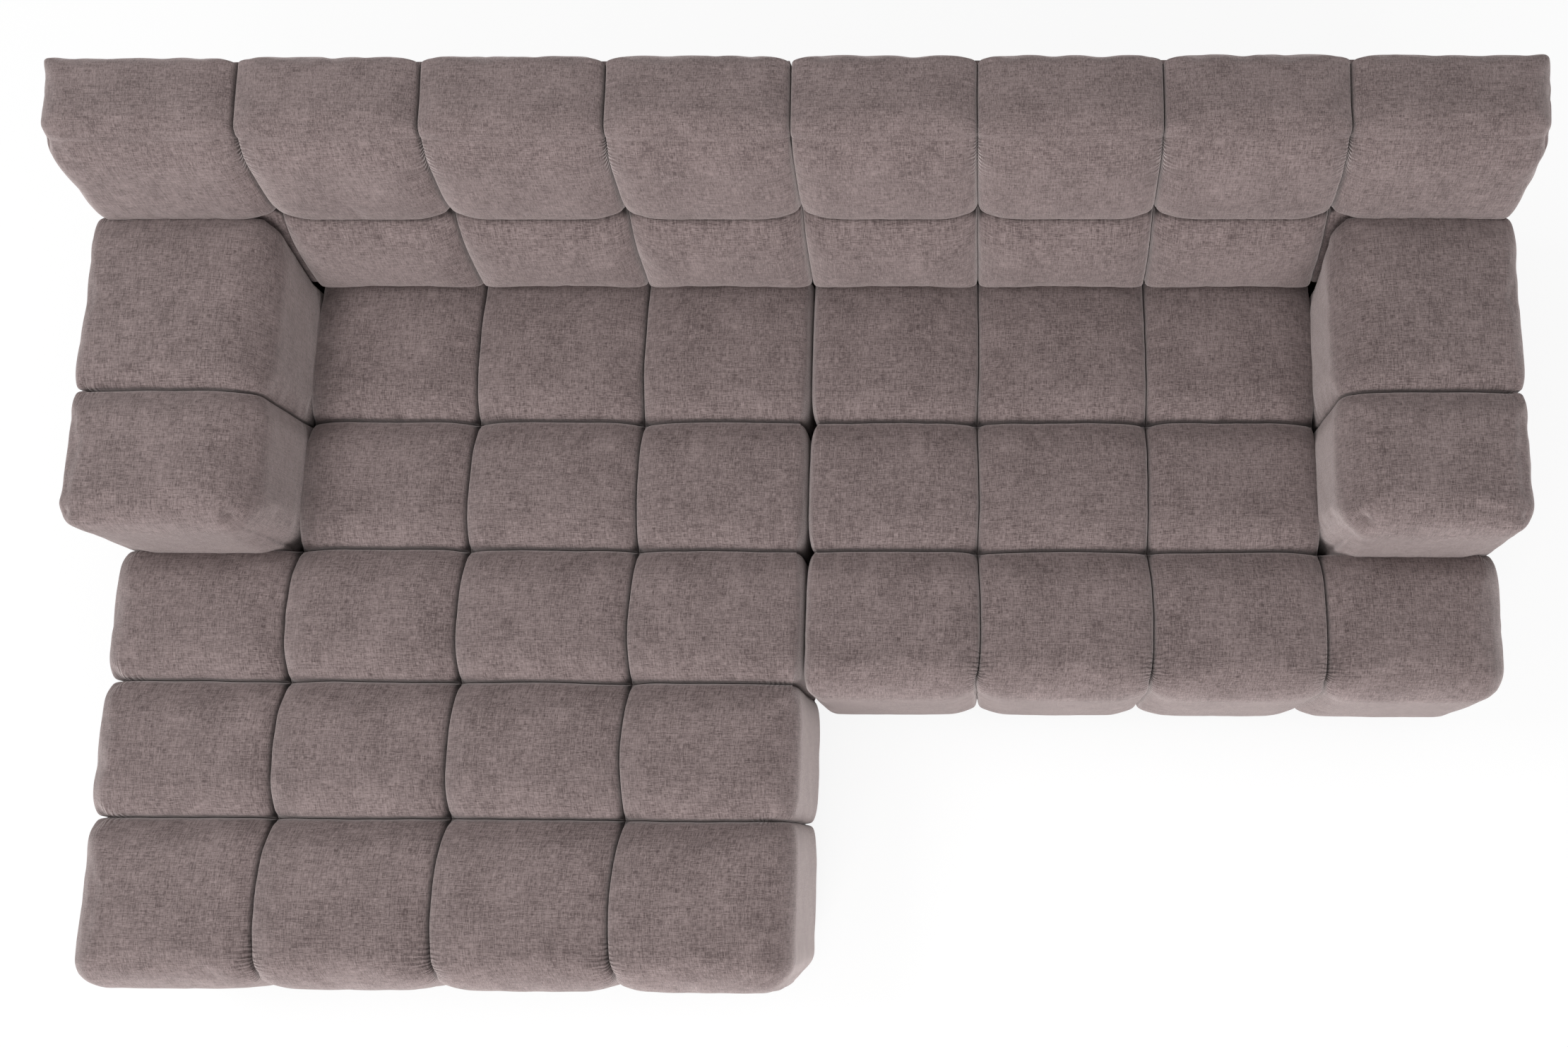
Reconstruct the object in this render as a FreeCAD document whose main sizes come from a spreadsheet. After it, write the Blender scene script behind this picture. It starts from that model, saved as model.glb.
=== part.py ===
import FreeCAD, Part
import math
import os
import Sketcher

# Sectional sofa of two upholstered units that stand side by side and push together on hidden
# connectors: a chaise unit on the left and a sofa unit on the right, seen from the front.
# Every face is biscuit tufted: sewn channels divide it into crowned tiles.
# Millimetres, +Z up, front towards -Y. The origin is on the floor under the middle of the outline.

V = FreeCAD.Vector
COLUMNS = 4
CHAISE_ROWS = 5
SOFA_ROWS = 3
ARM_ROWS = 2
STRAPS_PER_TILE = 3
PIN_SIDES = 12

doc = FreeCAD.newDocument("sectional_sofa")

# Driving dimensions, one value each.
DRIVING = [
    ("tile_wide", 325),          # pitch of the channels across the seat and the back
    ("tile_deep", 253),          # pitch of the channels from back to front
    ("side_over", 6),            # how far the outermost tiles stand past their pitch
    ("back_row_deep", 260),      # seat row against the back
    ("chaise_front_deep", 300),  # last row of the chaise, to its front face
    ("sofa_front_deep", 273),    # last row of the sofa unit, to its front face
    ("back_base_deep", 289),     # back, from its foot on the seat to the rear face
    ("back_top_deep", 172),      # back, along its top
    ("back_top_high", 836),      # crown of the back above the floor
    ("back_top_drop", 12),       # how far the front of the top lies below its rear
    ("arm_seam_high", 608),      # channel where the arms meet the back
    ("seat_seam_high", 400),     # channels of the seat
    ("unit_gap", 0.6),           # running gap between the two units
    ("seat_rise", 28),           # crown of a seat tile over the crossings of its channels
    ("channel_rise", 12),        # height of a channel midway between two crossings
    ("arm_rise", 24),
    ("back_rise", 20),
    ("face_draw", 14),           # how far a channel is drawn in on an upright face
    ("scallop", 14),             # how far a channel lifts the lower edge
    ("channel_wide", 4),
    ("channel_deep", 16),
    ("seat_round", 58),          # rounds where the cover folds over an edge
    ("arm_round", 42),
    ("back_round", 44),
    ("unit_round", 34),          # seat edge along the joint of the units
    ("corner_round", 50),        # upright corners at the front
    ("padding", 30),             # foam and cover on the sides of the base
    ("arm_padding", 34),
    ("back_padding", 64),
    ("top_padding", 56),
    ("base_low", 50),            # underside of the base frame
    ("rail_high", 200),
    ("rail_thick", 25),
    ("brace_thick", 22),         # cross rails and back posts
    ("post_drop", 100),          # overlap of a back post on the rear rail
    ("panel_thick", 15),         # boards of the arm boxes
    ("rear_board", 8),
    ("rear_board_drop", 40),
    ("block_side", 80),
    ("block_high", 80),
    ("strap_wide", 50),
    ("strap_clear", 2),          # between the first strap and the end post of the back
    ("strap_thick", 2),
    ("dust_cover", 1.2),
    ("leg_wide", 60),
    ("leg_inset", 75),
    ("leg_foot", 52),
    ("glide_high", 4),
    ("glide_wide", 40),
    ("leg_plate", 3),
    ("bolt_radius", 4),
    ("bolt_long", 60),
    ("head_radius", 7),
    ("head_high", 5.5),
    ("window_long", 240),        # lightening hole in each arm side
    ("window_high", 130),
    ("window_corner", 30),
    ("plate_wide", 44),          # connector tongue
    ("plate_thick", 3),
    ("plate_nose", 26),
    ("plate_hold", 80),
    ("catch_long", 62),
    ("catch_flange", 20),
    ("catch_clear", 0.35),
    ("cleat_deep", 130),
    ("cleat_wide", 90),
    ("cleat_high", 22),
    ("connector_inset", 230),
    ("screw_hole_radius", 2.5),
]

sheet = doc.addObject("Spreadsheet::Sheet", "sizes")
for row, (alias, number) in enumerate(DRIVING, 1):
    sheet.set(f"A{row}", alias)
    sheet.set(f"B{row}", str(number))
    sheet.setAlias(f"B{row}", alias)
doc.recompute()

# Places that follow from the driving dimensions. u is measured outwards from the joint of the units.
PLACES = [
    ("u_in", "sizes.unit_gap / 2"),
    ("u_out", f"{COLUMNS} * sizes.tile_wide + sizes.side_over"),
    ("u_arm", f"{COLUMNS - 1} * sizes.tile_wide"),
    ("rear", "(sizes.back_base_deep + sizes.back_row_deep"
             f" + {CHAISE_ROWS - 2} * sizes.tile_deep + sizes.chaise_front_deep) / 2"),
    ("y_back", "places.rear - sizes.back_base_deep"),
    ("y_row", "places.y_back - sizes.back_row_deep"),
    ("y_arm", f"places.y_row - {ARM_ROWS - 1} * sizes.tile_deep"),
    ("chaise_front", "-places.rear"),
    ("sofa_front", f"places.y_row - {SOFA_ROWS - 2} * sizes.tile_deep - sizes.sofa_front_deep"),
    ("rail_top", "sizes.base_low + sizes.rail_high"),
    ("deck", "places.rail_top + sizes.strap_thick"),
    ("foot", "sizes.seat_seam_high + sizes.seat_rise"),
    ("y_board", "places.rear - sizes.rear_board"),
    ("y_rail", "places.y_board - sizes.rail_thick"),
    ("y_top", "places.rear - sizes.back_top_deep"),
    ("top_front", "sizes.back_top_high - sizes.back_top_drop"),
    ("slope", "(places.y_top - places.y_back) / (places.top_front - places.foot)"),
    ("u_rail_in", "places.u_in + sizes.padding"),
    ("u_rail_out", "places.u_out - sizes.padding"),
    ("u_post_in", "places.u_rail_in + sizes.rail_thick"),
    ("u_post_out", "places.u_rail_out - sizes.rail_thick"),
    ("frame_top", "sizes.back_top_high - sizes.top_padding"),
    ("under_rail", "sizes.base_low - sizes.dust_cover"),
    ("arm_box_top", "sizes.arm_seam_high - sizes.arm_padding"),
    ("y_core", "places.y_back + sizes.channel_deep"),
    ("y_post", "places.y_back + sizes.back_padding"),
    ("plate_low", "places.under_rail - sizes.catch_clear - sizes.plate_thick"),
    ("connector_front", "places.sofa_front + sizes.connector_inset"),
    ("connector_rear", "places.y_rail - sizes.connector_inset"),
]
places = doc.addObject("App::VarSet", "places")
for name, rule in PLACES:
    places.addProperty("App::PropertyFloat", name, "Places", "follows from the sizes")
    places.setExpression(name, rule)
    doc.recompute()


def size(alias):
    return float(sheet.get(alias))


def place(name):
    return float(getattr(places, name))


def worth(rule):
    return float(places.evalExpression(rule))


kept = []


def keep(obj, label):
    obj.Label = label
    kept.append(obj)
    return obj


UNITS = [
    ("chaise", -1, CHAISE_ROWS, "chaise_front"),
    ("sofa", 1, SOFA_ROWS, "sofa_front"),
]


def span_x(side, low, high):
    """Lower X of a piece that reaches from u = low to u = high in the unit on this side."""
    return f"({low})" if side > 0 else f"-({high})"


def block(side, low, high, y_low, y_high, z_low, z_high):
    """Squared board between two u, two Y and two Z places."""
    box = doc.addObject("Part::Box", "board")
    box.setExpression("Length", f"({high}) - ({low})")
    box.setExpression("Width", f"({y_high}) - ({y_low})")
    box.setExpression("Height", f"({z_high}) - ({z_low})")
    box.setExpression("Placement.Base.x", span_x(side, low, high))
    box.setExpression("Placement.Base.y", y_low)
    box.setExpression("Placement.Base.z", z_low)
    return box


def upright(radius, height, x, y, z, sides=PIN_SIDES):
    """Slim bar or screw hole standing on Z, with a few flat sides in place of a round."""
    bar = doc.addObject("Part::Prism", "pin")
    bar.Polygon = sides
    bar.setExpression("Circumradius", radius)
    bar.setExpression("Height", height)
    bar.setExpression("Placement.Base.x", x)
    bar.setExpression("Placement.Base.y", y)
    bar.setExpression("Placement.Base.z", z)
    return bar


def group(parts):
    bundle = doc.addObject("Part::Compound", "group")
    bundle.Links = parts
    return bundle


def fused(parts):
    joined = doc.addObject("Part::MultiFuse", "joined")
    joined.Shapes = parts
    return joined


def drilled(base, tool):
    cut = doc.addObject("Part::Cut", "drilled")
    cut.Base = base
    cut.Tool = tool
    return cut


def outline(sketch, corners):
    """Closed polygon with each corner bound to a pair of rules."""
    spots = [V(worth(a), worth(b), 0) for a, b in corners]
    first = sketch.GeometryCount
    count = len(spots)
    for k in range(count):
        sketch.addGeometry(Part.LineSegment(spots[k], spots[(k + 1) % count]))
    for k in range(count):
        sketch.addConstraint(Sketcher.Constraint("Coincident", first + k, 2, first + (k + 1) % count, 1))
    for k, (rule_a, rule_b) in enumerate(corners):
        for kind, rule, number in (("DistanceX", rule_a, spots[k].x), ("DistanceY", rule_b, spots[k].y)):
            index = sketch.addConstraint(Sketcher.Constraint(kind, -1, 1, first + k, 1, number))
            sketch.setExpression(f"Constraints[{index}]", rule)


def cut_board(plane, corners, thick, x="0", y="0", z="0"):
    """Board sawn to a polygon that is drawn on one of the origin planes."""
    body = doc.addObject("PartDesign::Body", "sawn")
    sketch = body.newObject("Sketcher::SketchObject", "face")
    origin = [f for f in body.Origin.OriginFeatures if f.Role == plane][0]
    sketch.AttachmentSupport = [(origin, "")]
    sketch.MapMode = "FlatFace"
    outline(sketch, corners)
    pad = body.newObject("PartDesign::Pad", "thickness")
    pad.Profile = sketch
    pad.setExpression("Length", thick)
    body.setExpression("Placement.Base.x", x)
    body.setExpression("Placement.Base.y", y)
    body.setExpression("Placement.Base.z", z)
    return body


# Base frame: four rails on edge, cross rails, glued corner blocks.


def brace_lines(front):
    """Rear faces of the cross rails: one under the arm's front, the rest spread over the seat."""
    lines = ["places.y_arm"]
    if front == "chaise_front":
        lines.append("places.y_arm - 1.5 * sizes.tile_deep")
    lines.append("(places.y_arm + places.y_back) / 2")
    return lines


def base_rails(unit, side, front):
    edge = f"places.{front} + sizes.padding"
    inner_edge = f"{edge} + sizes.rail_thick"
    low, high = "sizes.base_low", "places.rail_top"
    keep(block(side, "places.u_rail_in", "places.u_rail_out", edge, inner_edge, low, high),
         f"{unit}_front_rail")
    keep(block(side, "places.u_rail_in", "places.u_rail_out", "places.y_rail", "places.y_board",
               low, high), f"{unit}_rear_rail")
    keep(block(side, "places.u_post_out", "places.u_rail_out", inner_edge, "places.y_rail",
               low, high), f"{unit}_outer_rail")
    keep(block(side, "places.u_rail_in", "places.u_post_in", inner_edge, "places.y_rail",
               low, high), f"{unit}_joint_rail")
    keep(group([
        block(side, "places.u_post_in", "places.u_post_out",
              f"{line} - sizes.brace_thick", line, "places.rail_top - sizes.rail_high / 2", high)
        for line in brace_lines(front)
    ]), f"{unit}_cross_rails")


def leg_places(side, front):
    """Leg centres: four corners and the middle, as pairs of X and Y rules."""
    sign = "" if side > 0 else "-"
    near = f"{sign}(places.u_post_in + sizes.leg_inset / 2)"
    far = f"{sign}(places.u_post_out - sizes.leg_inset / 2)"
    fore = f"places.{front} + sizes.padding + sizes.rail_thick + sizes.leg_inset / 2"
    aft = "places.y_rail - sizes.leg_inset / 2"
    middle_x = f"{sign}((places.u_in + places.u_out) / 2)"
    middle_y = "places.y_arm - sizes.brace_thick / 2"
    return [(near, fore), (far, fore), (near, aft), (far, aft), (middle_x, middle_y)]


LEG_NAMES = ["front_joint_leg", "front_outer_leg", "rear_joint_leg", "rear_outer_leg", "middle_leg"]


def corner_blocks(unit, side, front):
    """Triangular blocks glued into the four corners, and one under the middle cross rail."""
    inner_edge = f"places.{front} + sizes.padding + sizes.rail_thick"
    parts = []
    for u_rule, inward_u in (("places.u_post_in", 1), ("places.u_post_out", -1)):
        for y_rule, inward_y in ((inner_edge, 1), ("places.y_rail", -1)):
            x = f"{side} * ({u_rule})"
            corners = [
                (x, y_rule),
                (f"{x} + {side * inward_u} * sizes.block_side", y_rule),
                (x, f"{y_rule} + {inward_y} * sizes.block_side"),
            ]
            parts.append(cut_board("XY_Plane", corners, "sizes.block_high", z="sizes.base_low"))
    x, y = leg_places(side, front)[-1]
    parts.append(square_block("sizes.leg_wide", x, y, "sizes.base_low", "sizes.rail_high / 2"))
    keep(group(parts), f"{unit}_corner_blocks")


def square_block(wide, x, y, low, high):
    """Square block centred on X and Y."""
    box = doc.addObject("Part::Box", "block")
    box.setExpression("Length", wide)
    box.setExpression("Width", wide)
    box.setExpression("Height", high)
    box.setExpression("Placement.Base.x", f"{x} - ({wide}) / 2")
    box.setExpression("Placement.Base.y", f"{y} - ({wide}) / 2")
    box.setExpression("Placement.Base.z", low)
    return box


def tapered_leg(x, y, top):
    """Square leg that narrows towards the floor; the wedge is drawn along Y and hung from its top."""
    wedge = doc.addObject("Part::Wedge", "leg")
    for low, high, wide in (("Xmin", "Xmax", "sizes.leg_wide"), ("Zmin", "Zmax", "sizes.leg_wide"),
                            ("X2min", "X2max", "sizes.leg_foot"), ("Z2min", "Z2max", "sizes.leg_foot")):
        wedge.setExpression(low, f"-({wide}) / 2")
        wedge.setExpression(high, f"({wide}) / 2")
    wedge.setExpression("Ymin", "0")
    wedge.setExpression("Ymax", f"{top} - sizes.glide_high")
    wedge.setExpression("Placement.Base.x", x)
    wedge.setExpression("Placement.Base.y", y)
    wedge.setExpression("Placement.Base.z", top)
    wedge.Placement.Rotation = FreeCAD.Rotation(V(1, 0, 0), -90)
    return wedge


def legs(unit, side, front):
    """Tapered block legs, each with a steel fixing plate on top and a felt glide below."""
    glides = []
    plates = []
    top = "places.under_rail - sizes.leg_plate"
    for name, (x, y) in zip(LEG_NAMES, leg_places(side, front)):
        keep(tapered_leg(x, y, top), f"{unit}_{name}")
        plates.append(square_block("sizes.leg_wide + 4 * sizes.leg_plate", x, y, top, "sizes.leg_plate"))
        glides.append(square_block("sizes.glide_wide", x, y, "0", "sizes.glide_high"))
    keep(group(glides), f"{unit}_glides")
    keep(group(plates), f"{unit}_leg_plates")


def dust_cover(unit, side, front):
    edge = f"places.{front} + sizes.padding"
    keep(block(side, "places.u_rail_in", "places.u_rail_out", edge, "places.y_board",
               "places.under_rail", "sizes.base_low"), f"{unit}_dust_cover")


def seat_straps(unit, side, front):
    """Elastic webbing from front to rear over the cross rails, spaced by the tiles."""
    parts = []
    pitch = f"sizes.tile_wide / {STRAPS_PER_TILE}"
    fore = f"places.{front} + sizes.padding"
    for k in range(COLUMNS * STRAPS_PER_TILE):
        under_arm = k >= (COLUMNS - 1) * STRAPS_PER_TILE
        middle = f"({k} + 0.5) * {pitch}"
        if k == 0:
            middle = "(places.u_post_in + sizes.brace_thick + sizes.strap_clear + sizes.strap_wide / 2)"
        if k == COLUMNS * STRAPS_PER_TILE - 1:
            middle = "(places.u_post_out - sizes.strap_wide / 2)"
        aft = "places.y_arm" if under_arm else "places.y_board"
        parts.append(block(side, f"{middle} - sizes.strap_wide / 2", f"{middle} + sizes.strap_wide / 2",
                           fore, aft, "places.rail_top", "places.deck"))
    keep(group(parts), f"{unit}_seat_straps")


# Arm box: bottom board bolted to the base, two holed sides, a front board and a top board.


def face_y(z_rule, inset):
    """Y of a plane behind the leaning front of the back, at a height above the foot."""
    return f"places.y_back + places.slope * ({z_rule} - places.foot) + {inset}"


def arm_window(side, low, y_mid, z_mid):
    """Tool for the lightening hole of an arm side, with its corners cut off."""
    window = block(side, f"{low} - 1", f"{low} + sizes.panel_thick + 1",
                   f"{y_mid} - sizes.window_long / 2", f"{y_mid} + sizes.window_long / 2",
                   f"{z_mid} - sizes.window_high / 2", f"{z_mid} + sizes.window_high / 2")
    eased = doc.addObject("Part::Chamfer", "window")
    eased.Base = window
    doc.recompute()
    corner = size("window_corner")
    eased.Edges = [
        (number, corner, corner) for number, edge in enumerate(window.Shape.Edges, 1)
        if abs(edge.tangentAt(edge.FirstParameter).x) > 0.9
    ]
    return eased


def arm_box(unit, side):
    low_u = "places.u_arm + sizes.arm_padding"
    high_u = "places.u_out - sizes.arm_padding"
    fore = "places.y_arm + sizes.arm_padding"
    floor = "places.rail_top + sizes.panel_thick"
    roof = "places.arm_box_top - sizes.panel_thick"
    rear_low = face_y("places.foot", "sizes.channel_deep")
    rear_high = face_y(roof, "sizes.channel_deep")
    keep(group([
        block(side, low_u, high_u, fore, "places.y_back", "places.rail_top", floor),
        block(side, low_u, high_u, fore, f"{fore} + sizes.panel_thick", floor, roof),
        block(side, low_u, high_u, fore, rear_high, roof, "places.arm_box_top"),
    ]), f"{unit}_arm_boards")
    corners = [(fore + " + sizes.panel_thick", floor), (rear_low, floor), (rear_low, "places.foot"),
               (rear_high, roof), (fore + " + sizes.panel_thick", roof)]
    sides = []
    for low in (low_u, f"{high_u} - sizes.panel_thick"):
        panel = cut_board("YZ_Plane", corners, "sizes.panel_thick",
                          x=span_x(side, low, f"{low} + sizes.panel_thick"))
        window = arm_window(side, low, f"({fore} + {rear_low}) / 2", f"(({floor}) + ({roof})) / 2")
        sides.append(drilled(panel, window))
    keep(group(sides), f"{unit}_arm_sides")
    bolts = []
    y = f"{brace_lines('sofa_front')[-1]} - sizes.brace_thick / 2"
    for share in (0.25, 0.75):
        x = f"{side} * (({low_u}) * {1 - share} + ({high_u}) * {share})"
        shank = upright("sizes.bolt_radius", "sizes.bolt_long", x, y, f"{floor} - sizes.bolt_long")
        head = upright("sizes.head_radius", "sizes.head_high", x, y, floor, sides=6)
        bolts.append(fused([shank, head]))
    keep(group(bolts), f"{unit}_arm_bolts")


# Back frame: sawn posts that notch over the rear rail, a top board, a low rail and webbing.


def post_lines():
    half = "sizes.brace_thick / 2"
    return ["places.u_post_in + " + half, "(places.u_in + places.u_out) / 2",
            "places.u_post_out - " + half]


def back_frame(unit, side):
    post_top = "places.frame_top - sizes.brace_thick"
    front_top = face_y(post_top, "sizes.back_padding")
    corners = [
        ("places.y_post", "places.rail_top - sizes.post_drop"),
        ("places.y_rail", "places.rail_top - sizes.post_drop"),
        ("places.y_rail", "places.rail_top"),
        ("places.y_board", "places.rail_top"),
        ("places.y_board", post_top),
        (front_top, post_top),
        ("places.y_post", "places.foot"),
    ]
    posts = []
    bolts = []
    for middle in post_lines():
        low = f"{middle} - sizes.brace_thick / 2"
        high = f"{middle} + sizes.brace_thick / 2"
        posts.append(cut_board("YZ_Plane", corners, "sizes.brace_thick", x=span_x(side, low, high)))
        shank = upright("sizes.bolt_radius", "sizes.bolt_long", f"{side} * ({middle})",
                        "places.y_board", "places.rail_top - sizes.post_drop / 2")
        shank.Placement.Rotation = FreeCAD.Rotation(V(1, 0, 0), 90)
        bolts.append(shank)
    keep(group(posts), f"{unit}_back_posts")
    keep(group(bolts), f"{unit}_back_bolts")
    keep(block(side, "places.u_post_in", "places.u_post_out",
               face_y("places.frame_top", "sizes.back_padding"), "places.y_board",
               post_top, "places.frame_top"), f"{unit}_back_top_board")
    lines = post_lines()
    spans = list(zip(lines[:-1], lines[1:]))
    keep(group([
        block(side, f"{a} + sizes.brace_thick / 2", f"{b} - sizes.brace_thick / 2",
              "places.y_post", "places.y_post + sizes.brace_thick",
              "places.deck", "places.foot - sizes.padding")
        for a, b in spans
    ]), f"{unit}_lumbar_rails")
    straps = []
    for a, b in spans:
        for share in (0.2, 0.5, 0.8):
            middle = f"(({a}) * {1 - share} + ({b}) * {share})"
            low = f"{middle} - sizes.strap_wide / 2"
            high = f"{middle} + sizes.strap_wide / 2"
            line = [
                ("places.y_post", "places.foot"),
                (front_top, post_top),
                (f"{front_top} + sizes.strap_thick", post_top),
                ("places.y_post + sizes.strap_thick", "places.foot"),
                ("places.y_post + sizes.strap_thick", "places.foot - sizes.padding"),
                ("places.y_post", "places.foot - sizes.padding"),
            ]
            straps.append(cut_board("YZ_Plane", line, "sizes.strap_wide", x=span_x(side, low, high)))
    keep(group(straps), f"{unit}_back_straps")
    keep(block(side, "places.u_in + sizes.channel_wide", "places.u_out - sizes.channel_wide",
               "places.y_board", "places.rear", "sizes.base_low",
               "sizes.back_top_high - sizes.rear_board_drop"), f"{unit}_rear_board")


# Upholstery. A section runs through points: a single point ends a line, a pair ends an arc.


def section(axis, station, path):
    def spot(point):
        if axis == "X":
            return V(station, point[0], point[1])
        return V(point[0], station, point[1])

    here = spot(path[0])
    edges = []
    for step in path[1:]:
        if isinstance(step[0], tuple):
            there = spot(step[1])
            edges.append(Part.Arc(here, spot(step[0]), there).toShape())
        else:
            there = spot(step)
            edges.append(Part.LineSegment(here, there).toShape())
        here = there
    edges.append(Part.LineSegment(here, spot(path[0])).toShape())
    return Part.Wire(edges)


# Stations along a tile: how far along it lies, and how full the section is there.
SHOULDER = 0.2
CLOSED = [(0.0, 0.0), (SHOULDER, 1.0), (1 - SHOULDER, 1.0), (1.0, 0.0)]
OPEN = [(0.0, 0.0), (SHOULDER, 1.0), (1.0, 1.0)]
ENDED = [(0.0, 0.0), (SHOULDER, 1.0), (0.88, 1.0), (1.0, 0.4)]
BOXED = [(0.0, 0.1), (0.12, 1.0), (1 - SHOULDER, 1.0), (1.0, 0.0)]


def tile(axis, low, high, path, stations=CLOSED):
    """Loft of sections that are drawn in at the channels and full between them."""
    wires = [section(axis, low + share * (high - low), path(full)) for share, full in stations]
    return Part.makeLoft(wires, True, True)


def crest(seam, rise, full):
    """Height of a seat tile midway along a section."""
    channel = size("channel_rise")
    return seam + channel + (rise - channel) * full


def crown_path(low, high, floor, seam, rise):
    """Tile inside the seat: straight sides in the channels and an arched top."""
    def path(full):
        top = crest(seam, rise, full)
        return [(low, floor), (low, seam), (((low + high) / 2, top), (high, seam)), (high, floor)]
    return path


def fold_path(inner, outer, seam, rise, radius, draw, foot, scallop):
    """Tile at an edge: the crown folds over a round and runs down a bulged face to its foot."""
    out = 1 if outer > inner else -1

    def path(full):
        face = outer - out * draw * (1 - full)
        shoulder = seam + 1 + 0.45 * rise * full
        start = face - out * radius
        bottom = foot + scallop * (1 - full)
        turn = radius * (1 - math.sqrt(0.5))
        return [
            (inner, bottom), (inner, seam),
            (((inner + start) / 2, crest(seam, rise, full)), (start, shoulder)),
            ((face - out * turn, shoulder - turn), (face, shoulder - radius)),
            (face - out * 3, bottom),
        ]
    return path


def box_between(x0, x1, y0, y1, z0, z1):
    return Part.makeBox(x1 - x0, y1 - y0, z1 - z0, V(x0, y0, z0))


def eased_box(x0, x1, y0, y1, z0, z1, rounds):
    """Core block with long bevels under the folds; each round names a direction it faces."""
    solid = box_between(x0, x1, y0, y1, z0, z1)
    for facing, radius in rounds:
        edges = [edge for edge in solid.Edges if faces(solid, edge, facing)]
        solid = solid.makeChamfer(radius / 2, edges)
    return solid


def faces(solid, edge, facing):
    """True for an edge that lies on each outer side of the block that `facing` points at."""
    box, middle = solid.BoundBox, edge.CenterOfMass
    spans = [(box.XMin, box.XMax, middle.x), (box.YMin, box.YMax, middle.y),
             (box.ZMin, box.ZMax, middle.z)]
    for way, (low, high, here) in zip(facing, spans):
        if way and abs(here - (high if way > 0 else low)) > 0.01:
            return False
    return True


def prism(axis, low, high, corners):
    """Straight bar along X or Y with a polygon section."""
    face = Part.Face(section(axis, low, corners))
    return face.extrude(V(high - low, 0, 0) if axis == "X" else V(0, high - low, 0))


def round_corner(x_in, x_out, y_in, y_out, radius, low, high):
    """Upright block whose outer corner is a quarter round."""
    sx = 1 if x_out > x_in else -1
    sy = 1 if y_out > y_in else -1
    centre = V(x_out - sx * radius, y_out - sy * radius, low)
    middle = centre + V(sx, sy, 0) * (radius * math.sqrt(0.5))
    a = V(x_in, y_in, low)
    b = V(x_out, y_in, low)
    c = V(x_out, centre.y, low)
    d = V(centre.x, y_out, low)
    e = V(x_in, y_out, low)
    edges = [Part.LineSegment(a, b).toShape(), Part.LineSegment(b, c).toShape(),
             Part.Arc(c, middle, d).toShape(), Part.LineSegment(d, e).toShape(),
             Part.LineSegment(e, a).toShape()]
    return Part.Face(Part.Wire(edges)).extrude(V(0, 0, high - low))


def row_lines(rows, front):
    """Y of the channels from the back to the front face."""
    lines = [place("y_back"), place("y_row")]
    for _ in range(rows - 2):
        lines.append(lines[-1] - size("tile_deep"))
    lines.append(place(front))
    return lines


def column_lines():
    lines = [place("u_in")] + [k * size("tile_wide") for k in range(1, COLUMNS)]
    lines.append(place("u_out"))
    return lines


def seat_cover(rows, front):
    """Seat pad of the unit on +X: a core with one crowned tile in each field of the grid."""
    seam, rise = size("seat_seam_high"), size("seat_rise")
    half = size("channel_wide") / 2
    deep = size("channel_deep")
    low = size("base_low")
    draw, scallop = size("face_draw"), size("scallop")
    ys, us = row_lines(rows, front), column_lines()
    floor = seam - deep - 2
    tiles = []
    for row in range(rows):
        y_high = ys[row] - (half if row else 0)
        at_front = row == rows - 1
        y_low = ys[row + 1] + (0 if at_front else half)
        for column in range(COLUMNS):
            if column == COLUMNS - 1 and row < ARM_ROWS:
                continue
            at_joint = column == 0
            at_side = column == COLUMNS - 1
            u_low = us[column] + (0 if at_joint else half)
            u_high = us[column + 1] - (0 if at_side else half)
            inner, outer = (u_high, u_low) if at_joint else (u_low, u_high)
            radius = size("unit_round") if at_joint else size("seat_round")
            fold_side = fold_path(inner, outer, seam, rise, radius, draw, low, scallop)
            fold_front = fold_path(y_high, y_low, seam, rise, size("seat_round"), draw, low, scallop)
            if at_front and (at_joint or at_side):
                reach = 2 * draw
                past = outer + (reach if outer > inner else -reach)
                across = tile("X", inner, past, fold_front, OPEN)
                along = tile("Y", y_high, y_low - reach, fold_side, OPEN)
                rounder = round_corner(inner, outer + (0.5 if outer > inner else -0.5), y_high,
                                       y_low - 0.5, size("corner_round"), 0, 2 * seam)
                tiles.append(across.common(along).common(rounder))
            elif at_front:
                tiles.append(tile("X", u_low, u_high, fold_front))
            elif at_joint or at_side:
                tiles.append(tile("Y", y_low, y_high, fold_side))
            else:
                tiles.append(tile("Y", y_low, y_high, crown_path(u_low, u_high, floor, seam, rise)))
    core_low = low + scallop + 2
    core_top = seam - deep
    at_edge, at_corner = size("seat_round"), size("corner_round")
    core = eased_box(us[0] + deep, us[-2] - half, ys[-1] + deep, ys[0], core_low, core_top,
                     [((-1, -1, 0), at_corner), ((0, -1, 1), at_edge), ((-1, 0, 1), size("unit_round"))])
    wing = eased_box(us[-3], us[-1] - deep, ys[-1] + deep, ys[ARM_ROWS] - half, core_low, core_top,
                     [((1, -1, 0), at_corner), ((0, -1, 1), at_edge), ((1, 0, 1), at_edge)])
    tail = box_between(us[0] + 1, place("u_rail_in"), ys[0] - deep, place("y_board"), low,
                       place("rail_top"))
    pad = core.fuse(tiles + [wing, tail])
    room = box_between(place("u_rail_in"), place("u_rail_out"), place(front) + size("padding"),
                       place("y_board"), 0, place("deck"))
    return pad.cut(room)


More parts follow.
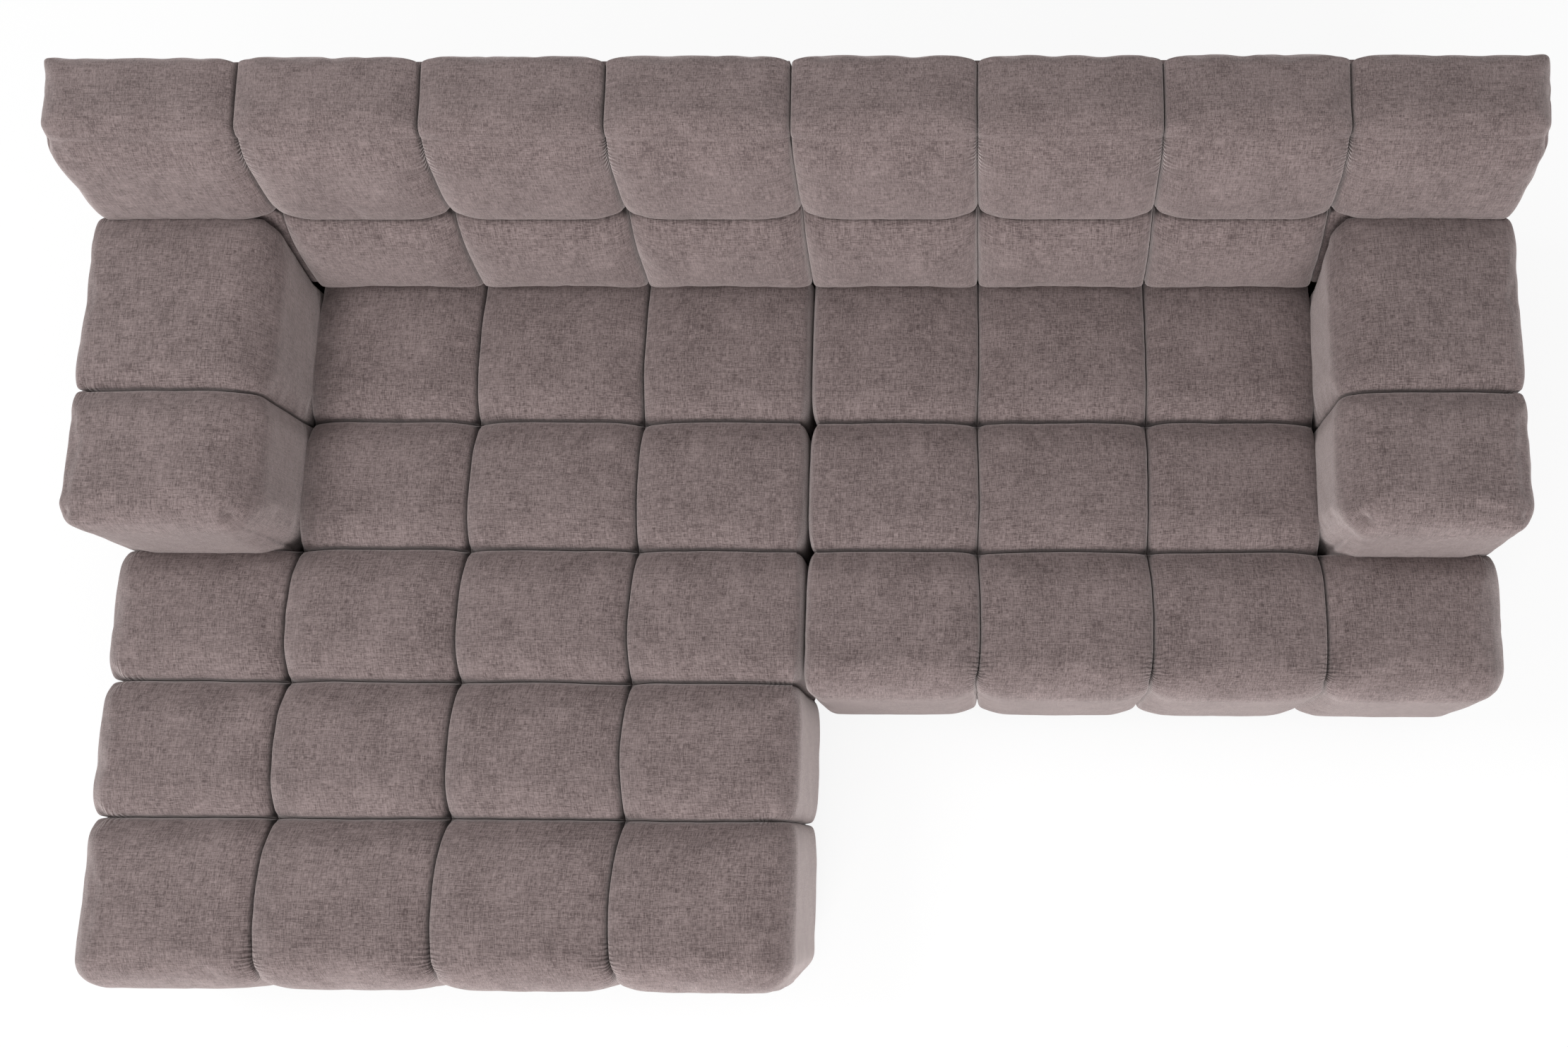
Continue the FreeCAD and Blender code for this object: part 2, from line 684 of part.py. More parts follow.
def arm_cover():
    """Arm pad of the unit on +X: saddle tiles over an open box, with a boxed front."""
    u_low, u_high = place("u_arm"), place("u_out")
    low, deck = size("base_low"), place("rail_top")
    seam, rise, radius = size("arm_seam_high"), size("arm_rise"), size("arm_round")
    draw, half, deep = size("face_draw"), size("channel_wide") / 2, size("channel_deep")
    y_front, y_mid = place("y_arm"), place("y_row")
    y_rear = place("y_back") + place("slope") * (seam - place("foot"))
    wall = size("padding")
    turn = radius * (1 - math.sqrt(0.5))

    def path(full):
        left = u_low + draw * (1 - full)
        right = u_high - draw * (1 - full)
        shoulder = seam - draw * 0.4 + rise * 0.5 * full
        bottom = low + size("scallop") * (1 - full)
        return [
            (right - 3, bottom), (right, shoulder - radius),
            ((right - turn, shoulder - turn), (right - radius, shoulder)),
            (((left + right) / 2, seam + 1 + rise * full), (left + radius, shoulder)),
            ((left + turn, shoulder - turn), (left, shoulder - radius)),
            (left + 3, deck), (u_high - wall, deck), (u_high - wall, bottom),
        ]

    front_tile = tile("Y", y_front, y_mid - half, path, BOXED)
    rear_tile = tile("Y", y_mid + half, y_rear + draw, path)
    core = eased_box(u_low + deep, u_high - deep, y_front + deep, y_rear, deck, seam - deep,
                     [((1, 0, 1), radius), ((-1, 0, 1), radius), ((0, -1, 1), radius)])
    apron = box_between(u_high - wall, u_high - deep, y_front + deep, y_rear,
                        low + size("scallop") + 2, deck + deep)
    skirt = box_between(u_high - wall, u_high - deep / 2, y_mid + deep, place("y_board"), low, deck)
    pad = core.fuse([front_tile, rear_tile, apron, skirt])
    room = box_between(u_low + size("arm_padding"), u_high - size("arm_padding"),
                       y_front + size("arm_padding"), place("rear"), 0, place("arm_box_top"))
    over = 2 * size("back_top_high")
    lean = over * place("slope")
    y_cut = place("y_core")
    foot = place("foot")
    behind = prism("X", 0, 2 * u_high, [
        (y_cut, deck), (y_cut, foot), (y_cut + lean, foot + over), (y_cut + 2 * lean, foot + over),
        (y_cut + 2 * lean, deck)])
    return pad.cut([room, behind])


def back_cover():
    """Back pad of the unit on +X: tall tiles over the top and shorter ones down to the seat."""
    seam, foot, top = size("arm_seam_high"), place("foot"), size("back_top_high")
    rise, draw, deep = size("back_rise"), size("face_draw"), size("channel_deep")
    radius, half = size("back_round"), size("channel_wide") / 2
    y_back, rear = place("y_back"), place("rear")
    slope, deck = place("slope"), place("deck")
    board_top = top - size("rear_board_drop")
    us = column_lines()

    def face(z, inset):
        return y_back + slope * (z - foot) + inset

    def swell(full):
        return 1 + 0.4 * draw * full

    def upper(full):
        inset = draw * (1 - full)
        crest = top - rise * (1 - full) - 2
        edge = crest - size("back_top_drop")
        turn = radius * (1 - math.sqrt(0.5))
        y_edge = face(edge - radius, inset)
        z_low = seam + half
        z_mid = (z_low + edge - radius) / 2
        return [
            (face(z_low, draw), z_low),
            ((face(z_mid, inset - swell(full)), z_mid), (y_edge, edge - radius)),
            ((y_edge + turn + slope * radius * 0.4, edge - turn), (y_edge + radius + slope * radius, edge)),
            (((y_edge + radius + rear) / 2, crest + 2), (rear - 2 - inset * 0.5, crest - 6)),
            (rear - 2 - inset * 0.5, board_top), (rear - 2 - inset * 0.5, z_low),
        ]

    def lower(full):
        inset = draw * (1 - full)
        z_high = seam - half
        z_mid = (z_high + foot) / 2
        return [
            (face(foot - rise, draw), foot - rise),
            ((face(z_mid, inset - swell(full)), z_mid), (face(z_high, draw), z_high)),
            (rear - deep, z_high), (rear - deep, foot - rise),
        ]

    tiles = []
    for column in range(COLUMNS):
        at_side = column == COLUMNS - 1
        u_low = us[column] + (0 if column == 0 else half)
        u_high = us[column + 1] - (0 if at_side else half)
        tiles.append(tile("X", u_low, u_high, upper, ENDED if at_side else CLOSED))
        if not at_side:
            tiles.append(tile("X", u_low, u_high, lower))
    shoulder = top - 2 * rise - radius
    core = prism("X", us[0] + 1, us[-1] - deep / 2, [
        (y_back + deep, deck), (y_back + deep, foot), (face(shoulder, deep), shoulder),
        (face(shoulder, deep) + 2 * radius, top - 2 * rise), (rear - deep, top - 2 * rise),
        (rear - deep, deck)])
    pad = core.fuse(tiles)
    frame_top = place("frame_top")
    post = place("y_post")
    room = prism("X", place("u_post_in"), place("u_post_out"), [
        (post, 0), (post, foot), (face(frame_top, size("back_padding")), frame_top),
        (2 * rear, frame_top), (2 * rear, 0)])
    board = box_between(0, 2 * us[-1], place("y_board"), 2 * rear, 0, board_top)
    foot_room = prism("X", 0, us[-2], [(0, 0), (0, foot - rise - 1), (y_back + deep, foot - rise - 1),
                                       (y_back + deep, 0)])
    return pad.cut([room, board, foot_room])


def soft(unit, side, label, shape):
    """Upholstered piece: built for the unit on +X and mirrored for the other one."""
    if side < 0:
        shape = shape.mirror(V(0, 0, 0), V(1, 0, 0))
    if shape.ShapeType == "Compound" and len(shape.Solids) == 1:
        shape = shape.Solids[0]
    piece = doc.addObject("Part::Feature", "upholstery")
    piece.Shape = shape
    piece.Placement = FreeCAD.Placement()
    keep(piece, f"{unit}_{label}")


# Connectors under the joint: a tongue plate on the sofa unit slides into a catch on the chaise.

CONNECTOR_LINES = ["places.connector_front", "places.connector_rear"]


def screw_holes(spots, low):
    return group([upright("sizes.screw_hole_radius", "sizes.plate_thick", x, y, low) for x, y in spots])


def cleats(unit, side):
    keep(group([
        block(side, "places.u_post_in", "places.u_post_in + sizes.cleat_wide",
              f"{y} - sizes.cleat_deep / 2", f"{y} + sizes.cleat_deep / 2",
              "sizes.base_low", "sizes.base_low + sizes.cleat_high")
        for y in CONNECTOR_LINES
    ]), f"{unit}_connector_cleats")


def tongues():
    """Tapered tongue plates that reach across the joint."""
    far = "places.u_post_in + sizes.plate_hold"
    tip = "-(places.u_post_in + sizes.catch_long / 2)"
    half = "sizes.plate_wide / 2"
    plates = []
    spots = []
    for y in CONNECTOR_LINES:
        corners = [
            (far, f"{y} - {half}"), (far, f"{y} + {half}"),
            (f"{tip} + sizes.plate_nose", f"{y} + {half}"), (tip, f"{y} + {half} / 2"),
            (tip, f"{y} - {half} / 2"), (f"{tip} + sizes.plate_nose", f"{y} - {half}"),
        ]
        plates.append(cut_board("XY_Plane", corners, "sizes.plate_thick", z="places.plate_low"))
        spots.append(("places.u_post_in + 0.6 * sizes.plate_hold", y))
    keep(drilled(group(plates), screw_holes(spots, "places.plate_low")), "connector_tongues")


def catches():
    """Formed hat brackets that hold the tongues up against the underside of the chaise."""
    low = "places.u_rail_in + sizes.rail_thick / 2"
    high = f"{low} + sizes.catch_long"
    inner = "sizes.plate_wide / 2 + sizes.catch_clear"
    outer = f"{inner} + sizes.plate_thick"
    wing = f"{outer} + sizes.catch_flange"
    slot_low = "places.plate_low - sizes.catch_clear"
    web_low = f"{slot_low} - sizes.plate_thick"
    flange_low = "places.under_rail - sizes.plate_thick"
    hats = []
    spots = []
    for y in CONNECTOR_LINES:
        half_section = [(inner, "places.under_rail"), (wing, "places.under_rail"), (wing, flange_low),
                        (outer, flange_low), (outer, web_low)]
        corners = [(f"{y} + {a}", b) for a, b in half_section]
        corners += [(f"{y} - ({a})", b) for a, b in reversed(half_section)]
        corners += [(f"{y} - ({inner})", slot_low), (f"{y} + {inner}", slot_low)]
        hats.append(cut_board("YZ_Plane", corners, "sizes.catch_long", x=span_x(-1, low, high)))
        for sign in ("+", "-"):
            spots.append((f"-({low} + 0.6 * sizes.catch_long)",
                          f"{y} {sign} ({outer} + sizes.catch_flange / 2)"))
    keep(drilled(group(hats), screw_holes(spots, flange_low)), "connector_catches")


catches()
tongues()

for unit_name, unit_side, unit_rows, unit_front in UNITS:
    base_rails(unit_name, unit_side, unit_front)
    legs(unit_name, unit_side, unit_front)
    corner_blocks(unit_name, unit_side, unit_front)
    cleats(unit_name, unit_side)
    dust_cover(unit_name, unit_side, unit_front)
    seat_straps(unit_name, unit_side, unit_front)
    arm_box(unit_name, unit_side)
    back_frame(unit_name, unit_side)
    back_pad = back_cover()
    soft(unit_name, unit_side, "back_pad", back_pad)
    soft(unit_name, unit_side, "arm_pad", arm_cover().cut(back_pad))
    soft(unit_name, unit_side, "seat_pad", seat_cover(unit_rows, unit_front))

doc.recompute()

for obj in doc.Objects:
    if "Invalid" in obj.State or "Error" in obj.State:
        raise RuntimeError(f"{obj.Name} did not recompute: {obj.State}")
for obj in kept:
    if obj.Shape.isNull() or not obj.Shape.isValid():
        raise RuntimeError(f"{obj.Label} has no valid shape")

os.makedirs("parts", exist_ok=True)
for obj in kept:
    obj.Shape.exportStep(f"parts/{obj.Label}.step")
    print(obj.Label, len(obj.Shape.Solids), round(obj.Shape.Volume / 1000))
print(len(kept), "nodes")
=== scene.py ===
# %% [markdown]
# # A biscuit-tufted sectional sofa
# The sofa is two upholstered units that stand side by side: a chaise unit and a sofa unit. The hidden
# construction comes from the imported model. This lesson gives every surface its look: quilted covers with
# sewn channels, a chenille velvet with a slubby weave, stained legs, webbing, felt and steel.

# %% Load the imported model
import math
import bpy
import numpy as np
from mathutils import Matrix, Vector


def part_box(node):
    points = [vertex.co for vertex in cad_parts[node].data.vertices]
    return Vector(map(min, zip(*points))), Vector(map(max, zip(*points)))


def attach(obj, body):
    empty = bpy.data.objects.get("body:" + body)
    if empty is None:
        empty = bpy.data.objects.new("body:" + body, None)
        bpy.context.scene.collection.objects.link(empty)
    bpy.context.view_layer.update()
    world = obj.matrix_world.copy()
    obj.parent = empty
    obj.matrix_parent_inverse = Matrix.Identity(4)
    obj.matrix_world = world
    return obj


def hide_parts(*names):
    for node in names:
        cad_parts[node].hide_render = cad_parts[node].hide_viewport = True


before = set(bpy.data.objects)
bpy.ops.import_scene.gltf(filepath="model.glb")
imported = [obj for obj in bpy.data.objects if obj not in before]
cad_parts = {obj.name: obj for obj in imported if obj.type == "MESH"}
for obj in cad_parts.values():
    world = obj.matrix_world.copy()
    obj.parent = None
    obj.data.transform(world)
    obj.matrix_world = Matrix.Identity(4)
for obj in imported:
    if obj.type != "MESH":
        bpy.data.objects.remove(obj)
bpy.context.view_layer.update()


# %% [markdown]
# ## Sizes
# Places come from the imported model's boxes, and the sewing sizes from how the cover is quilted. Every cover
# is first made on the sofa unit's side, where x grows outwards from the joint between the two units. The
# chaise unit's covers are mirrored, so one set of numbers serves both.

# %% Sizes and places
def low(node):
    """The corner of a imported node's box with the smallest x, y and z."""
    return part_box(node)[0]


def high(node):
    """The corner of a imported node's box with the largest x, y and z."""
    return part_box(node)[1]


COLUMNS = 4
TILE_WIDE = 0.325
TILE_DEEP = 0.253
JOINT = low("sofa_seat_pad").x
OUTER = high("sofa_seat_pad").x
REAR = high("sofa_rear_board").y
BOARD = low("sofa_rear_board").y
BOARD_TOP = high("sofa_rear_board").z
BASE_LOW = low("sofa_seat_pad").z
DECK = high("sofa_seat_straps").z
RAIL_IN = low("sofa_front_rail").x
RAIL_OUT = high("sofa_front_rail").x
ARM_IN = (COLUMNS - 1) * TILE_WIDE
ARM_FRONT = low("sofa_arm_pad").y
ARM_TOP = high("sofa_arm_pad").z
ARM_WALL = 0.034
SEAT_TOP = high("sofa_seat_pad").z
BACK_TOP = high("sofa_back_pad").z
BACK_POST = low("sofa_back_posts").y
FRAME_TOP = high("sofa_back_top_board").z
BACK_PAD = 0.064
BACK_FOOT = BACK_POST - BACK_PAD
REAR_ROW_DEEP = 0.260
SEAT_MID = BACK_FOOT - REAR_ROW_DEEP
ARM_SEAM = 0.608
FOOT = 0.428
LEAN = 0.2955
BACK_TOP_DROP = 0.012
BACK_TOP_DEEP = 0.172
UNITS = {
    "chaise": {"side": -1, "rows": 5, "front": low("chaise_seat_pad").y},
    "sofa": {"side": 1, "rows": 3, "front": low("sofa_seat_pad").y},
}
print("back foot", round(BACK_FOOT, 4), "seat mid line", round(SEAT_MID, 4), "arm front", round(ARM_FRONT, 4))


# %% [markdown]
# ## The camera
# It looks down at the sofa from just in front of the seat, about 3.3 m up, with a small sideways shift.
# The turn is three small angles: a tilt towards the back, a roll and a yaw. The eye and the angles were
# fitted to the places where the seams cross in the photograph.

# %% Camera
EYE = Vector((0.3548, -0.5582, 3.3079))
TILT = 0.2083
ROLL = 0.0172
YAW = 0.0068
LENS_MM = 35.79
SENSOR_MM = 36.0
SIDE_SHIFT = -0.1148
camera_data = bpy.data.cameras.new("camera")
camera_data.lens = LENS_MM
camera_data.sensor_width = SENSOR_MM
camera_data.shift_x = SIDE_SHIFT
camera = bpy.data.objects.new("camera", camera_data)
turn = Matrix.Rotation(YAW, 4, "Z") @ Matrix.Rotation(ROLL, 4, "Y") @ Matrix.Rotation(TILT, 4, "X")
camera.matrix_world = Matrix.Translation(EYE) @ turn
bpy.context.scene.collection.objects.link(camera)
bpy.context.scene.camera = camera
bpy.context.scene.view_settings.view_transform = "Standard"
print("camera height above the seat, m:", round(EYE.z - SEAT_TOP, 2))


# %% [markdown]
# ## The grid of a cover
# A cover is sewn from one cloth over a foam block. Its mesh starts as a block of boxes on a grid of planes.
# The planes lie close together beside a channel, where the cloth dives into the seam, and further apart
# over the crown. Boxes that are left out make the L shape of the seat and the room for the wooden frame.

# %% Planes of the grid
SEAM_STEP = 0.0016
FOLD_STEP = 0.006
GROWTH = 1.3
COARSE = 0.0145
LAST_GAP = 1.4


def walk(start, end, first, coarse):
    """Places from start towards end with steps that grow from first to coarse."""
    way = 1 if end > start else -1
    places, step = [start], first
    while abs(end - places[-1]) > LAST_GAP * step:
        places.append(places[-1] + way * step)
        step = min(step * GROWTH, coarse)
    return places


def planes(stops):
    """Graded places through stops: each stop is a place, its first step and the coarsest step after it."""
    out = []
    for (a, first_a, coarse), (b, first_b, _) in zip(stops[:-1], stops[1:]):
        middle = (a + b) / 2
        out += walk(a, middle, first_a, coarse) + [middle] + walk(b, middle, first_b, coarse)[:0:-1]
    return np.array(out + [stops[-1][0]])


tile_planes = planes([(0, SEAM_STEP, COARSE), (TILE_WIDE, SEAM_STEP, COARSE)])
print("planes across one tile:", len(tile_planes))


# %% [markdown]
# ## The surface of the block
# Wherever a filled box meets an empty one, the side they share is a face of the surface. Each face keeps the
# direction it looks in, because the outer sides get the cover and the inner ones only lie against the foam.

# %% Surface of a block of boxes
def skin(xs, ys, zs, filled):
    """Corner points and outward quads of the surface of the boxes for which filled(x, y, z) is true."""
    mids = [(axis[:-1] + axis[1:]) / 2 for axis in (xs, ys, zs)]
    solid = filled(*np.meshgrid(*mids, indexing="ij"))
    solid = np.pad(solid, 1)
    shape = (len(xs), len(ys), len(zs))
    quads, facing = [], []
    for axis in range(3):
        step = np.diff(solid.astype(np.int8), axis=axis)
        keep = [slice(1, -1)] * 3
        keep[axis] = slice(None)
        step = step[tuple(keep)]
        b, c = (axis + 1) % 3, (axis + 2) % 3
        for way, value in ((1, -1), (-1, 1)):
            cells = np.argwhere(step == value)
            ring = []
            for db, dc in ((0, 0), (1, 0), (1, 1), (0, 1)):
                corner = cells.copy()
                corner[:, b] += db
                corner[:, c] += dc
                ring.append(np.ravel_multi_index(corner.T, shape))
            ring = np.stack(ring if way > 0 else ring[::-1], axis=1)
            quads.append(ring)
            facing += [(axis, way)] * len(ring)
    quads = np.concatenate(quads)
    used, quads = np.unique(quads, return_inverse=True)
    i, j, k = np.unravel_index(used, shape)
    return np.stack([xs[i], ys[j], zs[k]], axis=1), quads.reshape(-1, 4), np.array(facing)


two_planes = np.array([0.0, 1.0])
_, box_faces, _ = skin(two_planes, two_planes, two_planes, lambda x, y, z: x > 0)
print("one filled box has", len(box_faces), "faces")


# %% [markdown]
# ## Crowns, channels and folds
# Between two channels the foam pushes the cloth up into a crown. It rises steeply out of the seam, like
# the side of a pillow, and then flattens. Where channels cross, the stitching pulls deeper. At an edge of
# the block the cloth folds over a round. These functions turn the square block into that shape.

# %% Crown and round functions
STEEP = 0.062
STEEP_SHARE = 0.80
STEEP_POWER = 2.3
WIDE_POWER = 2.0
CORNER = 0.020
SLIT = 0.012
SLIT_WIDE = 0.0014
ROUND_FROM = 0.5
ROUND_OVER = 0.3


def dome(distance, reach, power):
    """A quarter of a rounded pillow: 0 at no distance, 1 from reach on."""
    t = np.clip(distance / reach, 0, 1)
    return (1 - (1 - t) ** power) ** (1 / power)


def fullness(near_x, near_y):
    """How full a tile is at these distances from its channels: 0 in the seam, 1 over the crown."""
    qx, qy = np.maximum(CORNER - near_x, 0), np.maximum(CORNER - near_y, 0)
    edge = np.where((qx > 0) & (qy > 0), np.maximum(CORNER - np.hypot(qx, qy), 0), np.minimum(near_x, near_y))
    wide = dome(near_x, TILE_WIDE / 2, WIDE_POWER) * dome(near_y, TILE_DEEP / 2, WIDE_POWER)
    return STEEP_SHARE * dome(edge, STEEP, STEEP_POWER) + (1 - STEEP_SHARE) * wide


def slit(near_x, near_y):
    """The narrow dark gap where two tiles touch, down at the stitches."""
    return SLIT * np.exp(-np.minimum(near_x, near_y) / SLIT_WIDE)


def nearest(values, lines):
    """Distance to the nearest line."""
    return np.abs(values[:, None] - np.asarray(lines)[None, :]).min(1)


def ripple(seed, *coords):
    """Smooth seeded noise between about -1 and 1, as a sum of a few waves."""
    random = np.random.default_rng(seed)
    total = 0
    for scale in (1.0, 1.9, 3.1, 5.3):
        turns = random.uniform(-1, 1, len(coords)) * 2 * math.pi * scale
        phase = random.uniform(0, 2 * math.pi)
        total = total + np.sin(sum(t * c for t, c in zip(turns, coords)) + phase) / scale ** 0.5
    return total / 2.2


def eased(points, rounds):
    """Rounds the outer edges of a block. rounds holds (axis, way, place, radius) for each outer side."""
    pull = np.zeros_like(points)
    reach = np.zeros_like(points)
    for axis, way, place, radius in rounds:
        if callable(radius):
            radius = radius(points)
        depth = (place - points[:, axis]) * way
        q = np.clip((radius - depth) / radius, 0, 1)
        pull[:, axis] += way * q
        reach[:, axis] = np.where(q > 0, radius, reach[:, axis])
    biggest = np.abs(pull).max(1)
    length = np.linalg.norm(pull, axis=1)
    ratio = np.where(length > 0, biggest / np.maximum(length, 1e-9), 1)
    blend = np.clip((biggest - ROUND_FROM) / ROUND_OVER, 0, 1)
    ratio = 1 - (1 - ratio) * blend
    moved = points - reach * pull * (1 - ratio)[:, None]
    normal = pull / np.maximum(length, 1e-9)[:, None]
    return moved, normal, biggest


gaps = np.array([0.005, 0.020, 0.060])
print("fullness 5, 20 and 60 mm from a seam:", np.round(fullness(gaps, gaps + STEEP), 2))


# %% [markdown]
# ## How deep the cloth lies
# The stitches hold the cloth down in the channels, and hold it deepest where two channels cross. Little folds
# gather beside them. They are only about a centimetre apart, so they are kept as two attributes for the
# material to draw, where folds in the mesh would need several times its faces. A third attribute, seam, is
# the mask where the material paints shade down into the channels.

# %% Quilting
CROSS_PULL = 0.6
CROSS_REACH = 0.036
LOOSE = 0.0014
LOOSE_RATE = 7
FOLD_REACH = 0.014
FOLD_START = 0.002
FOLD_LEAST = 0.3


def channel_depth(points, near_x, near_y, deep, up, seed):
    """How far the cloth lies under the full crown, at these distances from its channels."""
    full = fullness(near_x, near_y)
    cross = deep * up * CROSS_PULL * np.exp(-(near_x ** 2 + near_y ** 2) / CROSS_REACH ** 2)
    loose = LOOSE * ripple(seed, *(points.T * LOOSE_RATE))
    return deep * (1 - full) + cross + slit(near_x, near_y) + np.abs(loose) * full


def folds(points, lines_x, lines_y, places, full):
    """Where small folds gather: down the column seams and over the row seams, near the given places; also the
    seam mask for the painted shade.
    """
    near_x = nearest(points[:, 0], lines_x)
    near_y = nearest(points[:, 1], lines_y)
    across, along = places(points)
    down = np.exp(-near_x / FOLD_REACH) * np.clip(near_x / FOLD_START, FOLD_LEAST, 1) * across
    over = np.exp(-near_y / FOLD_REACH) * np.clip(near_y / FOLD_START, FOLD_LEAST, 1) * along
    # The seam value is the mask for the painted shade that the material puts down in the seams.
    return {"seam": np.clip(1 - full, 0, 1), "gather_down": down, "gather_over": over}


print("a crossing on a 30 mm channel pulls it down by, mm:", round(30 * CROSS_PULL, 1))


# %% [markdown]
# ## The mesh and its flat cloth
# The cloth is unrolled over the edges of the top and its map is kept in metres, so the weave has one size
# everywhere and follows the cover round every fold. Faces that lie against the foam get a plain lining. The
# vertex group `held` says how firmly each point is stitched down.

# %% Mesh of a cover
HELD_LEVELS = 10


def cloth_map(points, quads, facing):
    """Place of every face corner on the flat cloth, unrolled over the edges of the top: across and along."""
    corner = points[quads]
    x, y, z = corner[..., 0], corner[..., 1], corner[..., 2]
    axis, way = facing[:, 0][:, None], facing[:, 1][:, None]
    drop = points[:, 2].max() - z
    across = np.where(axis == 0, x + way * drop, x)
    along = np.where(axis == 1, y + way * drop, y)
    return np.stack([across, along], axis=2).reshape(-1, 2)


def cover_mesh(name, points, quads, facing, shaped, hidden, side, held, gathers):
    """Mesh of a cover with its cloth map. Hidden faces get the second material and are held still later."""
    if side < 0:
        shaped = shaped * np.array([-1, 1, 1])
        quads = quads[:, ::-1]
    uv = cloth_map(points, quads, facing)
    mesh = bpy.data.meshes.new(name)
    mesh.from_pydata(shaped.tolist(), [], quads.tolist())
    layer = mesh.uv_layers.new(name="cloth")
    layer.data.foreach_set("uv", uv.ravel())
    mesh.materials.append(COVER)
    mesh.materials.append(LINING)
    mesh.polygons.foreach_set("material_index", hidden.astype(np.int32))
    for label, values in gathers.items():
        layer = mesh.attributes.new(label, "FLOAT", "POINT")
        layer.data.foreach_set("value", values.astype(np.float32))
    mesh.update()
    piece = bpy.data.objects.new(name, mesh)
    bpy.context.scene.collection.objects.link(piece)
    held = np.clip(1.5 * held - 0.1, 0, 1)
    held[quads[hidden].ravel()] = 1
    group = piece.vertex_groups.new(name="held")
    levels = np.round(held * HELD_LEVELS).astype(int)
    for level in range(1, HELD_LEVELS + 1):
        group.add(np.flatnonzero(levels == level).tolist(), level / HELD_LEVELS, "REPLACE")
    return piece


# %% [markdown]
# ## Air in the cloth
# The foam presses the real cover out until its cloth is tight. Blender's cloth can do the same with pressure,
# while the stitched points are held still. A dozen frames are enough. No point may end more than 4 mm from
# where it was sewn, so that the tiles keep their size.

# %% Cloth pressure
FRAMES = 12
MOST = 0.004


def only(piece):
    """Selects one piece and nothing else, ready for an operator."""
    bpy.ops.object.select_all(action="DESELECT")
    bpy.context.view_layer.objects.active = piece
    piece.select_set(True)


def plump(piece):
    """Lets air pressure fill the cloth between its seams, so that slack cloth finds its own small folds."""
    only(piece)
    cloth = piece.modifiers.new("plump", "CLOTH")
    fabric = cloth.settings
    fabric.quality = 3
    fabric.mass = 0.25
    fabric.tension_stiffness = fabric.compression_stiffness = 25
    fabric.shear_stiffness = 8
    fabric.bending_stiffness = 0.6
    fabric.vertex_group_mass = "held"
    fabric.use_pressure = True
    fabric.uniform_pressure_force = 4
    fabric.shrink_min = -0.008
    fabric.effector_weights.gravity = 0
    cloth.collision_settings.use_collision = False
    cloth.point_cache.frame_start = 1
    cloth.point_cache.frame_end = FRAMES
    count = len(piece.data.vertices)
    before = np.empty(count * 3)
    piece.data.vertices.foreach_get("co", before)
    scene = bpy.context.scene
    for number in range(1, FRAMES + 1):
        scene.frame_set(number)
    bpy.ops.object.modifier_apply(modifier=cloth.name)
    after = np.empty(count * 3)
    piece.data.vertices.foreach_get("co", after)
    move = (after - before).reshape(-1, 3)
    far = np.linalg.norm(move, axis=1)
    move *= np.minimum(1, MOST / np.maximum(far, 1e-9))[:, None]
    piece.data.vertices.foreach_set("co", before + move.ravel())
    piece.data.update()
    scene.frame_set(1)
    print(piece.name, "cloth moved, mm: middle", round(float(np.median(far)) * 1000, 1),
          "most", round(float(far.max()) * 1000, 1))


# %% [markdown]
# ## Smooth outside, few faces inside
# One level of subdivision rounds the cover. It also makes four faces of every hidden one, although those are
# flat. So the hidden faces are selected one direction at a time and dissolved into large ones.

# %% Smooth a cover
def finish_cover(piece):
    """Smooths a cover once, then joins the flat hidden faces inside it, one direction after another."""
    only(piece)
    smooth = piece.modifiers.new("smooth", "SUBSURF")
    smooth.levels = smooth.render_levels = 1
    bpy.ops.object.modifier_apply(modifier=smooth.name)
    for axis in range(3):
        for way in (-1, 1):
            faces = piece.data.polygons
            normals = np.empty(len(faces) * 3)
            faces.foreach_get("normal", normals)
            slots = np.empty(len(faces), np.int32)
            faces.foreach_get("material_index", slots)
            normals = normals.reshape(-1, 3)
            chosen = (slots == 1) & (np.abs(normals).argmax(1) == axis) & (normals[:, axis] * way > 0)
            bpy.ops.object.mode_set(mode="EDIT")
            bpy.ops.mesh.select_mode(type="FACE")
            bpy.ops.mesh.select_all(action="DESELECT")
            bpy.ops.object.mode_set(mode="OBJECT")
            piece.data.polygons.foreach_set("select", chosen)
            bpy.ops.object.mode_set(mode="EDIT")
            bpy.ops.mesh.dissolve_faces()
            bpy.ops.object.mode_set(mode="OBJECT")
    bpy.ops.object.shade_smooth()


# %% [markdown]
# ## Lower edge, crown and wandering seams
# Sewn cloth is never ruler straight. These helpers tuck the lower edge in, let a crown fall towards an outer
# edge, and move the seams sideways a little along seeded waves, so that each run gives the same sofa.

# %% Hem and fullness helpers
SEAM_WANDER = 0.0016
SEAM_WANDER_WIDE = 0.06
JOINT_HOLD = 0.010
HEM_ROUND = 0.012
SCALLOP = 0.014
SCALLOP_HIGH = 0.110
EDGE_FALL = 0.006
PUFF = 0.010


def hem(z, bottom):
    """How far the cloth tucks in just above the lower edge."""
    t = np.clip((bottom + HEM_ROUND - z) / HEM_ROUND, 0, 1)
    return HEM_ROUND * (1 - np.sqrt(1 - t ** 2))


def fall_to(distance, half):
    """The crown falls a little from the middle of a tile to an outer edge."""
    return (1 - np.clip(distance / half, 0, 1)) ** 2


def seam_wander(points, columns, rows, seed):
    """Moves the points near a channel sideways by a millimetre or two."""
    moved = points.copy()
    for k, line in enumerate(columns):
        close = np.exp(-((points[:, 0] - line) / SEAM_WANDER_WIDE) ** 2)
        moved[:, 0] += SEAM_WANDER * close * ripple(seed + k, points[:, 1] * 3, points[:, 2] * 3)
    for k, line in enumerate(rows):
        close = np.exp(-((points[:, 1] - line) / SEAM_WANDER_WIDE) ** 2)
        moved[:, 1] += SEAM_WANDER * close * ripple(seed + 40 + k, points[:, 0] * 3, points[:, 2] * 3)
    return moved


